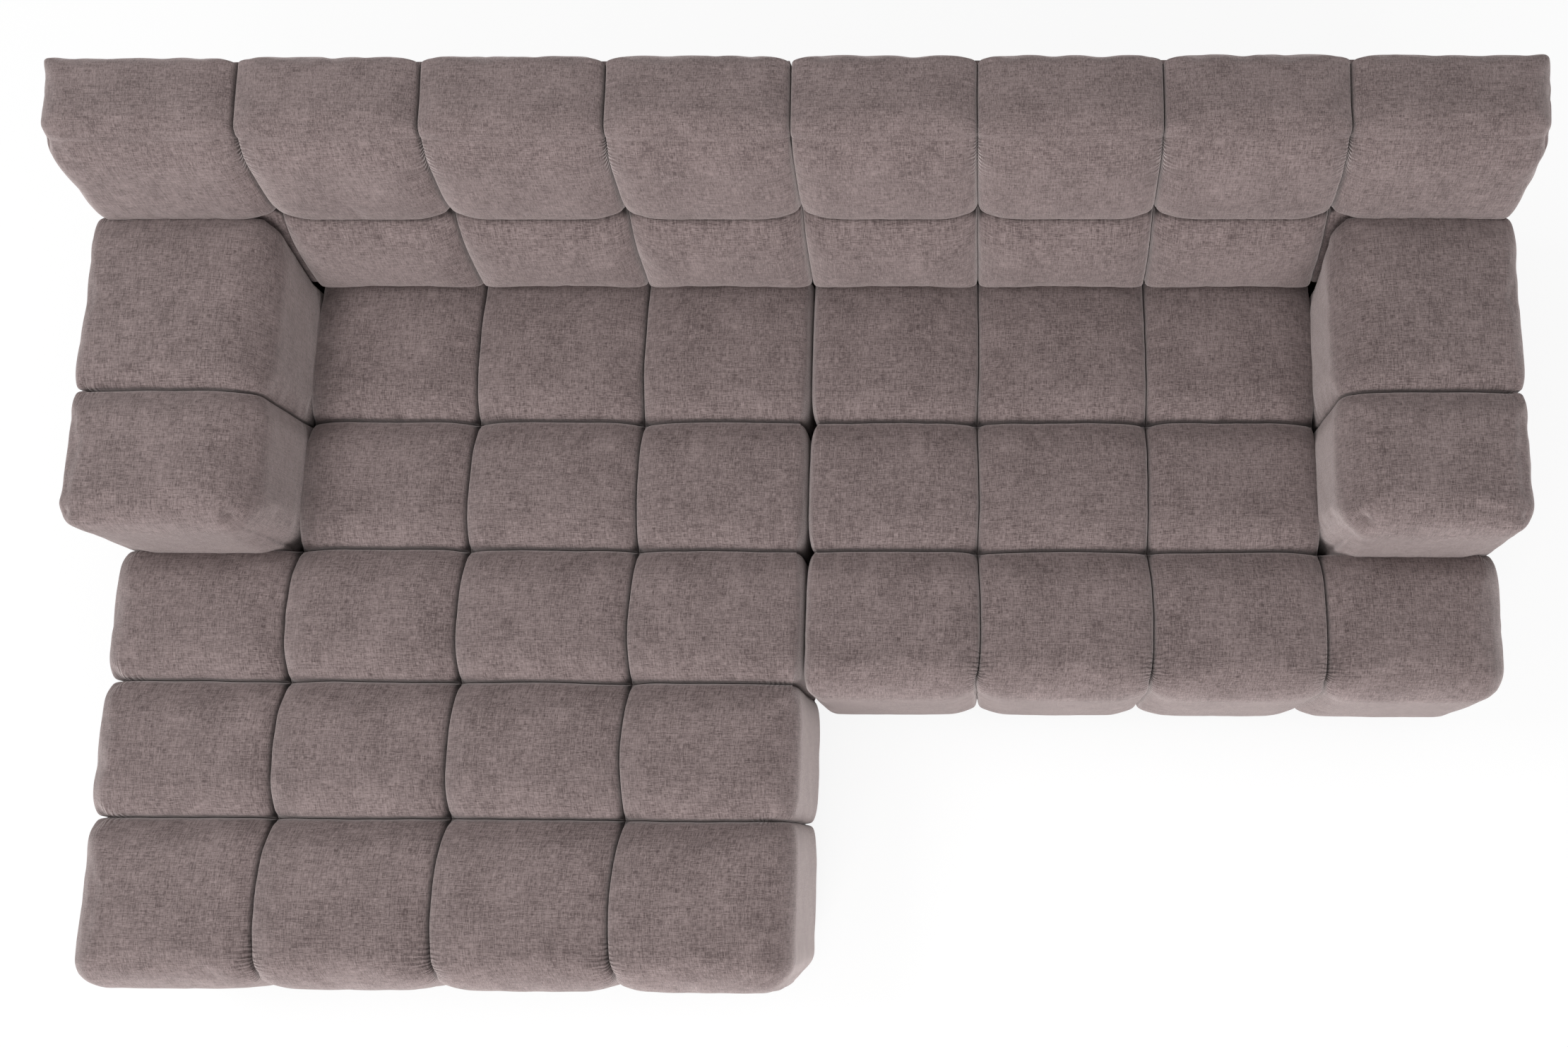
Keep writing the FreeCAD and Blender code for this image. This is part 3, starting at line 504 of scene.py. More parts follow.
def beside_joint(points, held):
    """The cloth that faces the other unit is held flat, so that the units part cleanly."""
    return np.maximum(held, np.exp(-(points[:, 0] - JOINT) / JOINT_HOLD))


print("depth of the tuck at the lower edge, mm:", round(float(hem(0.0, 0.0)) * 1000, 1))


# %% [markdown]
# ## From a block to a quilted cover
# `quilt` puts the steps together. It rounds the block, finds how far each point lies from the nearest
# channel, sinks the cloth there, and lets the crowns, the lower edge and the outer side swell or fall.

# %% Quilting a block
TOUCHING = 1e-6
JOINT_CLEAR = 0.02
PUFF_POWER = 0.7
FLARE = {-1: 0.014, 1: 0.004}
FLARE_FROM = 1.15
FAR_LINE = [-9.0]


def outer_faces(corner, facing, rounds):
    """The faces that lie on an outer side of the block, where the cover shows."""
    outer = np.zeros(len(corner), bool)
    for axis, way, place, _ in rounds:
        on_plane = np.abs(corner[..., axis] - place).max(1) < TOUCHING
        outer |= (facing[:, 0] == axis) & (facing[:, 1] == way) & on_plane
    return outer


def quilt(name, side, grid, filled, rounds, columns, rows, deep, seed, crown=0.0, bend=None, places=None,
          dents=()):
    """A quilted cover. grid is (xs, ys, zs); deep is the depth of a channel on top and on an upright face."""
    points, quads, facing = skin(*grid, filled)
    corner = points[quads]
    outer = outer_faces(corner, facing, rounds)
    bottom = grid[2][0]
    under = (facing[:, 0] == 2) & (facing[:, 1] < 0) & (corner[..., 2].max(1) < bottom + TOUCHING)
    moved, normal, depth = eased(points, rounds)
    up = np.clip(normal[:, 2], 0, 1) ** 2
    near_x = nearest(points[:, 0], columns)
    near_y = nearest(points[:, 1], rows)
    full = fullness(near_x, near_y)
    depths = deep[1] + (deep[0] - deep[1]) * up
    sink = channel_depth(points, near_x, near_y, depths, up, seed)
    held = beside_joint(points, 1 - full)
    sides = [place for axis, _, place, _ in rounds if axis == 0]
    if crown:
        middle = (grid[0][0] + grid[0][-1]) / 2
        half = (grid[0][-1] - grid[0][0]) / 2
        sink += crown * up * ((points[:, 0] - middle) / half) ** 2
    else:
        near = nearest(points[:, 0], sides)
        sink += EDGE_FALL * up * fall_to(near, TILE_WIDE / 2)
    sink += hem(points[:, 2], bottom) * (1 - up)
    tall = np.clip((points[:, 2] - bottom) / (grid[2][-1] - bottom), 0, 1)
    away = points[:, 0] > grid[0][0] + JOINT_CLEAR
    sink -= PUFF * (1 - up) * full * np.sin(math.pi * tall ** PUFF_POWER) * away
    hold = up * depth + (1 - up) * np.clip(2 * depth - 1, 0, 1)
    for x, y, z, amount, radius in dents:
        sink += amount * np.exp(-((moved - np.array([x, y, z])) ** 2).sum(1) / radius ** 2)
    shaped = moved - normal * (sink * hold)[:, None]
    low_part = np.clip(1 - (points[:, 2] - bottom) / SCALLOP_HIGH, 0, 1)
    shaped[:, 2] += SCALLOP * (1 - full) * low_part ** 2 * hold
    outward = np.clip((points[:, 0] - FLARE_FROM) / (OUTER - FLARE_FROM), 0, 1)
    shaped[:, 0] += FLARE[side] * outward * np.sqrt(tall)
    shaped = seam_wander(shaped, columns, rows, seed)
    if bend:
        shaped = bend(points, shaped)
    gathers = folds(points, columns, rows, places, full)
    return cover_mesh(name, points, quads, facing, shaped, ~(outer | under), side, held, gathers)


# %% [markdown]
# ## The seat cover
# Each unit's seat is one cover: a crowned tile in each field, except under the arm. It folds over the
# front, the outer side and the joint side, and hangs to a scalloped hem round the wooden base. The seams
# bow outwards between their crossings, as full tiles push them. The sewn tuck at the outer end of each row
# seam is made as a dent, because the cover is one closed skin without a second layer of cloth.

# %% Seat covers
SEAT_ROUND = 0.052
SIDE_ROUND = 0.040
JOINT_ROUND = 0.015
OPEN_ROUND = 0.060
WALL = 0.030
SEAT_REAR = BACK_FOOT + 0.030
BOWS = {"chaise": (0.003, 0.004, 0.010, 0.011, 0.018), "sofa": (0.002, 0.003, 0.008)}
BOW_INSIDE = 0.12
BOW_OUTSIDE = 0.15
DIP = 0.010
DIP_FROM = 0.44
DIP_OVER = 0.08
TUCK_IN = 0.014
TUCK = 0.010
TUCK_WIDE = 0.018
SEAT_DEEP = (0.030, 0.018)
FOLDS_FRONT = 0.045
FOLDS_FRONT_REACH = 0.055
FOLDS_OUTER = 0.035
FOLDS_JOINT = 0.045
FOLDS_REACH = 0.05
FOLDS_OPEN = 0.04
FOLDS_HIGH = 0.06


def row_lines(rows):
    """Y of each seam between two rows of the seat, from the back to the front."""
    return [SEAT_MID - k * TILE_DEEP for k in range(rows - 1)]


def open_side(y):
    """1 where the chaise stands out in front of the sofa unit and its joint side shows, 0 beside it."""
    return np.clip((UNITS["sofa"]["front"] + 0.01 - y) / 0.04, 0, 1)


def seat_cover(unit):
    """The whole seat of one unit, with its front, outer side and joint side."""
    facts = UNITS[unit]
    front, rows = facts["front"], row_lines(facts["rows"])
    columns = [k * TILE_WIDE for k in range(1, COLUMNS)]
    xs = planes([(JOINT, FOLD_STEP, COARSE), (RAIL_IN, FOLD_STEP, COARSE)]
                + [(line, SEAM_STEP, COARSE) for line in columns]
                + [(RAIL_OUT, FOLD_STEP, COARSE), (OUTER, FOLD_STEP, COARSE)])
    ys = planes([(front, FOLD_STEP, COARSE), (front + WALL, FOLD_STEP, COARSE)]
                + [(line, SEAM_STEP, COARSE) for line in reversed(rows)]
                + [(SEAT_REAR, 0.010, 0.05), (BOARD, 0.02, 0.05)])
    zs = planes([(BASE_LOW, 0.003, COARSE), (DECK, COARSE, COARSE), (SEAT_TOP, FOLD_STEP, COARSE)])

    def filled(x, y, z):
        plan = (y < SEAT_REAR) & ((x < ARM_IN) | (y < ARM_FRONT))
        room = (z < DECK) & (x > RAIL_IN) & (x < RAIL_OUT) & (y > front + WALL)
        tail = (x < RAIL_IN) & (z < DECK)
        return (plan & ~room) | tail

    def joint_round(points):
        return JOINT_ROUND + (OPEN_ROUND - JOINT_ROUND) * open_side(points[:, 1]) * (unit == "chaise")

    def bow(points, shaped):
        """Full tiles lean over their side seams: each seam bows outwards between its crossings."""
        ends = [SEAT_REAR] + rows + [front]
        reach = np.clip(points[:, 0] / BOW_INSIDE, 0, 1) * np.clip((OUTER - points[:, 0]) / BOW_OUTSIDE, 0, 1)
        for high_end, low_end, amount in zip(ends[:-1], ends[1:], BOWS[unit]):
            t = np.clip((points[:, 1] - low_end) / (high_end - low_end), 0, 1)
            shaped[:, 0] += amount * 4 * t * (1 - t) * reach
        under_back = np.clip((points[:, 1] - DIP_FROM) / DIP_OVER, 0, 1) * (points[:, 2] > DECK)
        shaped[:, 2] -= DIP * under_back ** 2
        return shaped

    def places(points):
        """Folds gather towards the front end of the column seams and at both ends of the row seams."""
        front_end = np.clip(1 - np.abs(points[:, 1] - front - FOLDS_FRONT) / FOLDS_FRONT_REACH, 0, 1)
        outer_end = np.clip(1 - np.abs(OUTER - FOLDS_OUTER - points[:, 0]) / FOLDS_REACH, 0, 1)
        joint_end = np.clip(1 - np.abs(points[:, 0] - FOLDS_JOINT) / FOLDS_REACH, 0, 1)
        joint_end = joint_end * open_side(points[:, 1] - FOLDS_OPEN)
        return front_end, (outer_end + joint_end) * (points[:, 2] > SEAT_TOP - FOLDS_HIGH)

    rounds = [(0, -1, JOINT, joint_round), (0, 1, OUTER, SIDE_ROUND), (1, -1, front, SEAT_ROUND),
              (2, 1, SEAT_TOP, SEAT_ROUND)]
    tucks = [(OUTER - TUCK_IN, line, SEAT_TOP - TUCK_IN, TUCK, TUCK_WIDE) for line in rows]
    name = f"{unit}_seat_cover"
    seed = 11 if unit == "chaise" else 12
    return quilt(name, facts["side"], (xs, ys, zs), filled, rounds, columns, rows, SEAT_DEEP, seed,
                 bend=bow, places=places, dents=tucks)


print("seat seams of the chaise unit, y:", [round(line, 3) for line in row_lines(UNITS["chaise"]["rows"])])


# %% [markdown]
# ## The arm cover
# Two saddle tiles lie over the arm box. The front is boxed, and on the real arm the cloth is folded at its
# corners like the paper on a parcel. Here each fold is a small dent, which keeps the cover one closed skin.
# The outer face runs down to the hem, and the inner one stops at the seat.

# %% Arm covers
ARM_ROUND = 0.062
ARM_OUT_ROUND = 0.024
ARM_FRONT_ROUND = 0.044
ARM_BOX_TOP = ARM_TOP - 0.058
BACK_CORE = BACK_FOOT + 0.016
LEDGE = FOOT - 0.020
ARM_CROWN = 0.011
ARM_DEEP = (0.022, 0.013)
REAR_TUCK = 0.024
REAR_TUCK_HIGH = 0.05
ARM_FOLDS = 0.7
ARM_FOLDS_OUTER = 0.02
ARM_FOLDS_REACH = 0.03
ARM_FOLDS_HIGH = 0.04


def back_face(z):
    """Y of the leaning plane that the arms end at."""
    return BACK_CORE + LEAN * np.maximum(z - FOOT, 0)


def arm_cover(unit):
    """The two tiles over an arm box, its front, and the outer wall down to the hem."""
    facts = UNITS[unit]
    rear = back_face(ARM_SEAM)
    rows = [SEAT_MID, rear]
    xs = planes([(ARM_IN, FOLD_STEP, COARSE), (ARM_IN + ARM_WALL, FOLD_STEP, COARSE),
                 (RAIL_OUT, FOLD_STEP, COARSE), (OUTER, FOLD_STEP, COARSE)])
    ys = planes([(ARM_FRONT, FOLD_STEP, COARSE), (ARM_FRONT + ARM_WALL, FOLD_STEP, COARSE),
                 (SEAT_MID, SEAM_STEP, COARSE), (rear, SEAM_STEP, COARSE), (BOARD, 0.02, 0.05)])
    zs = planes([(BASE_LOW, 0.003, COARSE), (DECK, COARSE, COARSE), (LEDGE, FOLD_STEP, COARSE),
                 (ARM_BOX_TOP, COARSE, COARSE), (ARM_TOP, FOLD_STEP, COARSE)])

    def filled(x, y, z):
        outside = x > RAIL_OUT
        ahead = y < rear
        wall = (x < ARM_IN + ARM_WALL) | outside | (y < ARM_FRONT + ARM_WALL) | (z > ARM_BOX_TOP)
        return ((z > DECK) & ahead & wall) | ((z < LEDGE) & outside)

    def lean_back(points, shaped):
        """The rear end follows the leaning face of the back."""
        share = np.clip((points[:, 1] - SEAT_MID) / (rear - SEAT_MID), 0, 1)
        share = np.where(points[:, 1] > rear + TOUCHING, 0, share)
        shift = back_face(np.clip(points[:, 2], DECK, None)) - rear
        shaped[:, 1] += share * shift
        behind = (points[:, 1] > rear - TOUCHING) & (points[:, 0] > RAIL_OUT)
        tuck = np.clip(1 - (LEDGE - points[:, 2]) / REAR_TUCK_HIGH, 0, 1) ** 2 * behind
        shaped[:, 0] -= REAR_TUCK * tuck
        return shaped

    def places(points):
        """Folds gather in the cross seam at the outer edge, where it is stitched down."""
        outer_end = np.clip(1 - np.abs(OUTER - ARM_FOLDS_OUTER - points[:, 0]) / ARM_FOLDS_REACH, 0, 1)
        return np.zeros(len(points)), ARM_FOLDS * outer_end * (points[:, 2] > ARM_TOP - ARM_FOLDS_HIGH)

    def top_round(points):
        """The top rolls wide over the inner side and stays crisp at the outer side."""
        share = np.clip((points[:, 0] - ARM_IN) / (OUTER - ARM_IN), 0, 1)
        return ARM_ROUND + (ARM_OUT_ROUND - ARM_ROUND) * share

    rounds = [(0, -1, ARM_IN, ARM_ROUND), (0, 1, OUTER, ARM_OUT_ROUND), (1, -1, ARM_FRONT, ARM_FRONT_ROUND),
              (2, 1, ARM_TOP, top_round)]
    seed = 21 if unit == "chaise" else 22
    pinches = [(ARM_IN + 0.030, ARM_FRONT + 0.016, ARM_TOP - 0.024, 0.014, 0.018),
               (OUTER - 0.008, ARM_FRONT + 0.014, ARM_TOP - 0.010, 0.010, 0.014)]
    return quilt(f"{unit}_arm_cover", facts["side"], (xs, ys, zs), filled, rounds, FAR_LINE, rows,
                 ARM_DEEP, seed, crown=ARM_CROWN, bend=lean_back, places=places, dents=pinches)


print("cross seams of an arm, y:", round(SEAT_MID, 3), round(back_face(ARM_SEAM), 3))


# %% [markdown]
# ## The back cover
# Four tall tiles fold over the top of the back, and three shorter ones reach down to the seat. The whole
# face leans back. Its channels are drawn in less than those on top of the seat.

# %% Back covers
BACK_ROUND = 0.080
END_ROUND = 0.018
REAR_ROUND = 0.022
REAR_FACE = REAR - 0.002
POST_INSET = 0.025
BACK_DEEP = 0.024
BACK_TOP_LESS = 0.004
BACK_CROSS = 0.014
BACK_PUFF = 0.010
BACK_LOOSE = 0.001
BACK_LOOSE_RATE = 9
FOOT_TUCK = 0.020
FOOT_TUCK_HIGH = 0.05
SPLAY = 0.012
SPLAY_FROM = 1.0
SPLAY_OVER = 0.306
SPLAY_LOW = 0.5
SPLAY_HIGH = 0.3
DROP_LOW = 0.7
DROP_HIGH = 0.1
UPPER_FULLER = 0.03
UPPER_FROM = 0.1
TURN_DOWN = 0.05
TURN_REACH = 0.06
TURN_DEEP = 0.09


def back_grid(columns, post_in, post_out):
    """Planes of a back cover, close together at its seams and edges."""
    xs = planes([(JOINT, SEAM_STEP, COARSE), (post_in, 0.008, COARSE)]
                + [(line, SEAM_STEP, COARSE) for line in columns]
                + [(post_out, 0.008, COARSE), (OUTER, FOLD_STEP, COARSE)])
    ys = planes([(BACK_FOOT, FOLD_STEP, COARSE), (BACK_CORE, 0.008, COARSE), (BACK_POST, 0.010, COARSE),
                 (BOARD, FOLD_STEP, COARSE), (REAR_FACE, FOLD_STEP, COARSE)])
    zs = planes([(DECK, 0.02, 0.03), (LEDGE, 0.004, COARSE), (ARM_SEAM, SEAM_STEP, COARSE),
                 (FRAME_TOP, COARSE, COARSE), (BOARD_TOP, FOLD_STEP, COARSE), (BACK_TOP, FOLD_STEP, COARSE)])
    return xs, ys, zs


def back_sink(points, near_x, near_z, up, seed):
    """How far the back's cloth lies under its full crown."""
    behind_arm = (points[:, 0] > ARM_IN) & (points[:, 2] < ARM_SEAM)
    upper = points[:, 2] > ARM_SEAM + UPPER_FROM
    full = np.where(behind_arm, 0, fullness(near_x, near_z + UPPER_FULLER * upper))
    sink = (BACK_DEEP - BACK_TOP_LESS * up) * (1 - full) + slit(near_x, near_z)
    sink += BACK_CROSS * np.exp(-(near_x ** 2 + near_z ** 2) / CROSS_REACH ** 2)
    foot_tuck = np.clip(1 - (points[:, 2] - LEDGE) / FOOT_TUCK_HIGH, 0, 1)
    sink = np.maximum(sink, FOOT_TUCK * foot_tuck ** 2)
    between = np.clip((points[:, 2] - LEDGE) / (ARM_SEAM - LEDGE), 0, 1)
    sink -= BACK_PUFF * np.sin(math.pi * between) * full
    return sink + BACK_LOOSE * np.abs(ripple(seed, *(points.T * BACK_LOOSE_RATE))) * full


def lean_and_splay(points, shaped):
    """Leans the face back, lets the top fall towards the front, and flares the outer end."""
    height = np.maximum(shaped[:, 2] - FOOT, 0)
    ahead = np.clip((REAR - points[:, 1]) / (REAR - BACK_FOOT), 0, 1)
    shaped[:, 1] += LEAN * height * ahead
    forward = np.clip((REAR - shaped[:, 1]) / BACK_TOP_DEEP, 0, 1)
    drop = forward * np.clip((points[:, 2] - DROP_LOW) / DROP_HIGH, 0, 1)
    shaped[:, 2] -= BACK_TOP_DROP * drop
    outward = np.clip((points[:, 0] - SPLAY_FROM) / SPLAY_OVER, 0, 1)
    shaped[:, 0] += SPLAY * outward * np.clip((points[:, 2] - SPLAY_LOW) / SPLAY_HIGH, 0, 1)
    return shaped


def back_cover(unit):
    """The back of one unit, round its posts and boards: front face, top, outer end and rear edge."""
    facts = UNITS[unit]
    columns = [k * TILE_WIDE for k in range(1, COLUMNS)]
    post_in, post_out = RAIL_IN + POST_INSET, RAIL_OUT - POST_INSET

    def filled(x, y, z):
        room = (x > post_in) & (x < post_out) & (y > BACK_POST) & (z < FRAME_TOP)
        board = (y > BOARD) & (z < BOARD_TOP)
        foot = (z < LEDGE) & ~((x < post_in) & (y > BACK_CORE))
        return ~(room | board | foot)

    def top_round(points):
        """The top rolls wide at the front and turns short at the rear."""
        share = np.clip((points[:, 1] - BACK_FOOT) / (REAR - BACK_FOOT), 0, 1)
        return BACK_ROUND + (REAR_ROUND - BACK_ROUND) * share

    def places(points):
        """Folds gather in the column seams where they turn over the front edge of the top."""
        turn_over = np.clip(1 - np.abs(points[:, 2] - BACK_TOP + TURN_DOWN) / TURN_REACH, 0, 1)
        return turn_over * (points[:, 1] < BACK_FOOT + TURN_DEEP), np.zeros(len(points))

    points, quads, facing = skin(*back_grid(columns, post_in, post_out), filled)
    corner = points[quads]
    rounds = [(0, 1, OUTER, END_ROUND), (1, -1, BACK_FOOT, BACK_ROUND), (2, 1, BACK_TOP, top_round),
              (1, 1, REAR_FACE, REAR_ROUND)]
    outer = outer_faces(corner, facing, rounds)
    outer |= np.abs(corner[..., 0] - JOINT).max(1) < TOUCHING
    moved, normal, depth = eased(points, rounds)
    up = np.clip(normal[:, 2], 0, 1) ** 2
    near_x = nearest(points[:, 0], [JOINT] + columns)
    near_z = np.abs(points[:, 2] - ARM_SEAM)
    seed = 31 if unit == "chaise" else 32
    sink = back_sink(points, near_x, near_z, up, seed)
    hold = np.clip(1.5 * depth - 0.5, 0, 1)
    shaped = lean_and_splay(points, moved - normal * (sink * hold)[:, None])
    shaped = seam_wander(shaped, columns, [], seed)
    held = beside_joint(points, 1 - fullness(near_x, near_z))
    inner_x = nearest(points[:, 0], columns)
    gathers = folds(points, columns, FAR_LINE, places, fullness(inner_x, near_z))
    name = f"{unit}_back_cover"
    return cover_mesh(name, points, quads, facing, shaped, ~outer, facts["side"], held, gathers)


print("the back's top leans behind its foot by, mm:", round(LEAN * (BACK_TOP - FOOT) * 1000))


# %% [markdown]
# ## Chenille velvet
# The cloth is a short-piled chenille in mauve taupe. Thick and thin places in its yarn show as little
# dashes along and across the cloth. The pile lies in clouds, and it shines silver where it is seen edge on.
# One group makes slubs, clouds and thread relief, so the cover, the rear cloth and the webbing can share it.

# %% Shader node helpers
def add_node(tree, kind, **values):
    """Adds a shader node and sets its own properties."""
    node = tree.nodes.new(kind)
    for key, value in values.items():
        setattr(node, key, value)
    return node


def wire(tree, source, target):
    """Links an output socket to an input socket."""
    tree.links.new(source, target)


def math_node(tree, operation, first, second):
    """The result of a Math node whose two inputs are sockets or plain numbers."""
    node = add_node(tree, "ShaderNodeMath", operation=operation)
    for socket, value in zip(node.inputs, (first, second)):
        if isinstance(value, (int, float)):
            socket.default_value = value
        else:
            wire(tree, value, socket)
    return node.outputs[0]


def stretched_noise(tree, vector, stretch, detail=2.0):
    """Noise on the cloth, with its own number of cells per metre across and along."""
    scaled = add_node(tree, "ShaderNodeVectorMath", operation="MULTIPLY")
    scaled.inputs[1].default_value = (stretch[0], stretch[1], stretch[2])
    wire(tree, vector, scaled.inputs[0])
    noise = add_node(tree, "ShaderNodeTexNoise")
    noise.inputs["Scale"].default_value = 1.0
    noise.inputs["Detail"].default_value = detail
    noise.inputs["Roughness"].default_value = 0.6
    wire(tree, scaled.outputs[0], noise.inputs["Vector"])
    return noise.outputs["Fac"]


# %% Woven cloth group
THREADS = (90, 850, 1)
SLUBS = (17, 330, 1)
CLOUDS = (11, 8, 1)
MOTTLE = (46, 60, 1)


def turned(cells):
    """The same cells per metre with across and along changed over, for the threads of the other way."""
    return (cells[1], cells[0], cells[2])


def make_weave_group():
    """Shade and Height of a woven cloth with thick and thin yarn, for any material."""
    group = bpy.data.node_groups.new("woven_slub", "ShaderNodeTree")
    face = group.interface
    face.new_socket("Vector", in_out="INPUT", socket_type="NodeSocketVector")
    for label, value in (("Slub Contrast", 0.2), ("Cloud Contrast", 0.15), ("Thread Pitch", 0.0016)):
        socket = face.new_socket(label, in_out="INPUT", socket_type="NodeSocketFloat")
        socket.default_value = value
    for label in ("Shade", "Height"):
        face.new_socket(label, in_out="OUTPUT", socket_type="NodeSocketFloat")
    inside = add_node(group, "NodeGroupInput")
    outside = add_node(group, "NodeGroupOutput")
    vector = inside.outputs["Vector"]
    weft = stretched_noise(group, vector, THREADS)
    warp = stretched_noise(group, vector, turned(THREADS))
    long_weft = stretched_noise(group, vector, SLUBS)
    long_warp = stretched_noise(group, vector, turned(SLUBS))
    fine = math_node(group, "ADD", weft, warp)
    long = math_node(group, "ADD", long_weft, long_warp)
    slub = math_node(group, "ADD", fine, math_node(group, "MULTIPLY", long, 0.45))
    slub = math_node(group, "SUBTRACT", slub, 1.45)
    clouds = stretched_noise(group, vector, CLOUDS, detail=3.0)
    mottle = stretched_noise(group, vector, MOTTLE, detail=3.0)
    cloud = math_node(group, "ADD", clouds, mottle)
    cloud = math_node(group, "SUBTRACT", cloud, 1.0)
    shade = math_node(group, "MULTIPLY", slub, inside.outputs["Slub Contrast"])
    cloudy = math_node(group, "MULTIPLY", cloud, inside.outputs["Cloud Contrast"])
    shade = math_node(group, "ADD", math_node(group, "ADD", shade, cloudy), 0.5)
    wire(group, shade, outside.inputs["Shade"])
    split = add_node(group, "ShaderNodeSeparateXYZ")
    wire(group, vector, split.inputs[0])
    rate = math_node(group, "DIVIDE", 2 * math.pi, inside.outputs["Thread Pitch"])
    ridges = []
    for axis in (0, 1):
        turns = math_node(group, "MULTIPLY", split.outputs[axis], rate)
        ridges.append(math_node(group, "SINE", turns, 0))
    weave = math_node(group, "MULTIPLY", *ridges)
    height = math_node(group, "ADD", math_node(group, "MULTIPLY", weave, 0.25), slub)
    wire(group, height, outside.inputs["Height"])
    return group


WEAVE = make_weave_group()
print("weave group sockets:", [item.name for item in WEAVE.interface.items_tree])


# %% [markdown]
# ## Cloth on a cover
# The cloth's colour runs from a dark to a light mauve with the group's Shade. Down in the seams it is painted
# almost black, a painted shade for the crevices where no light reaches. Sheen lightens the pile at a glancing
# angle.
# The small folds are added to the height before it goes to the Bump node.

# %% Cloth material
FOLD_PITCH = 0.0095
FOLD_JITTER = 9.0
FOLD_HEIGHT = 6.5
# How dark the painted shade down in the seams is, as a share of the dark mauve.
SEAM_PAINTED_SHADE = 0.2


def fold_height(tree, cloth_place):
    """Height of the little folds that cross the seams, from the gather attributes of a cover."""
    parts = []
    jitter = stretched_noise(tree, cloth_place, (60, 60, 1))
    split = add_node(tree, "ShaderNodeSeparateXYZ")
    wire(tree, cloth_place, split.inputs[0])
    for label, axis in (("gather_down", 1), ("gather_over", 0)):
        turns = math_node(tree, "MULTIPLY", split.outputs[axis], 2 * math.pi / FOLD_PITCH)
        turns = math_node(tree, "ADD", turns, math_node(tree, "MULTIPLY", jitter, FOLD_JITTER))
        weight = add_node(tree, "ShaderNodeAttribute", attribute_name=label)
        wave = math_node(tree, "SINE", turns, 0)
        parts.append(math_node(tree, "MULTIPLY", wave, weight.outputs["Fac"]))
    return math_node(tree, "MULTIPLY", math_node(tree, "ADD", *parts), FOLD_HEIGHT)


def painted_seam_shade(tree, colour, dark):
    """The colour of the cloth with painted shade: darker down in the seams, from the seam attribute of a
    cover.
    """
    seam = add_node(tree, "ShaderNodeAttribute", attribute_name="seam")
    share = add_node(tree, "ShaderNodeMapRange")
    share.inputs["From Min"].default_value = 0.60
    share.inputs["From Max"].default_value = 0.95
    share.inputs["To Max"].default_value = 0.96
    wire(tree, seam.outputs["Fac"], share.inputs["Value"])
    darker = add_node(tree, "ShaderNodeMix", data_type="RGBA")
    wire(tree, share.outputs["Result"], darker.inputs["Factor"])
    wire(tree, colour, darker.inputs["A"])
    darker.inputs["B"].default_value = (*[SEAM_PAINTED_SHADE * value for value in dark], 1)
    return darker.outputs["Result"]


def cloth(name, dark, light, slub=1.5, clouds=0.5, pitch=0.0016, relief=0.0006, sheen=0.6,
          sheen_rough=0.5, sheen_tint=(1.0, 0.88, 0.86), rough=0.9, on_map=True, upright=False):
    """A woven material. on_map reads a cover's cloth map and attributes, otherwise Object coordinates."""
    material = bpy.data.materials.new(name)
    material.use_nodes = True
    tree = material.node_tree
    shader = tree.nodes["Principled BSDF"]
    place = add_node(tree, "ShaderNodeTexCoord")
    weave = add_node(tree, "ShaderNodeGroup", node_tree=WEAVE)
    stood = add_node(tree, "ShaderNodeMapping")
    stood.inputs["Rotation"].default_value = (math.pi / 2 if upright else 0, 0, 0)
    wire(tree, place.outputs["UV" if on_map else "Object"], stood.inputs["Vector"])
    wire(tree, stood.outputs[0], weave.inputs["Vector"])
    weave.inputs["Slub Contrast"].default_value = slub
    weave.inputs["Cloud Contrast"].default_value = clouds
    weave.inputs["Thread Pitch"].default_value = pitch
    ramp = add_node(tree, "ShaderNodeValToRGB")
    ramp.color_ramp.elements[0].color = (*dark, 1)
    ramp.color_ramp.elements[1].color = (*light, 1)
    ramp.color_ramp.elements[0].position = 0.1
    ramp.color_ramp.elements[1].position = 0.9
    wire(tree, weave.outputs["Shade"], ramp.inputs[0])
    colour = ramp.outputs[0]
    # Covers get painted shade, almost black, down in their seams.
    if on_map:
        colour = painted_seam_shade(tree, colour, dark)
    wire(tree, colour, shader.inputs["Base Color"])
    bump = add_node(tree, "ShaderNodeBump")
    bump.inputs["Distance"].default_value = relief
    bump.inputs["Strength"].default_value = 0.6
    height = weave.outputs["Height"]
    if on_map:
        height = math_node(tree, "ADD", height, fold_height(tree, place.outputs["UV"]))
    wire(tree, height, bump.inputs["Height"])
    wire(tree, bump.outputs[0], shader.inputs["Normal"])
    shader.inputs["Roughness"].default_value = rough
    shader.inputs["Specular IOR Level"].default_value = 0.15
    shader.inputs["Sheen Weight"].default_value = sheen
    shader.inputs["Sheen Roughness"].default_value = sheen_rough
    shader.inputs["Sheen Tint"].default_value = (*sheen_tint, 1)
    return material


MAUVE_DARK = (0.064, 0.045, 0.044)
MAUVE_LIGHT = (0.240, 0.187, 0.182)
COVER = cloth("chenille_velvet", MAUVE_DARK, MAUVE_LIGHT)
REAR_CLOTH = cloth("rear_velvet", MAUVE_DARK, MAUVE_LIGHT, on_map=False, upright=True)
LINING = cloth("lining", (0.03, 0.028, 0.027), (0.05, 0.046, 0.045), sheen=0.1)
DUST = cloth("dust_cloth", (0.010, 0.010, 0.011), (0.022, 0.022, 0.024), pitch=0.0011, sheen=0.1,
             on_map=False)
STRAP = cloth("webbing", (0.012, 0.012, 0.014), (0.05, 0.05, 0.055), pitch=0.003, sheen=0.1, on_map=False)
FELT = cloth("felt", (0.05, 0.045, 0.04), (0.10, 0.09, 0.08), pitch=0.004, sheen=0.3, on_map=False)
print("cloths:", [item.name for item in (COVER, REAR_CLOTH, LINING, DUST, STRAP, FELT)])


# %% [markdown]
# ## Wood and steel
# The frame is sawn softwood and plywood, plain and pale. The legs are stained dark and lacquered. Both use
# one grain group with long rings along a chosen axis. The steel plates have a fine brushed grain.

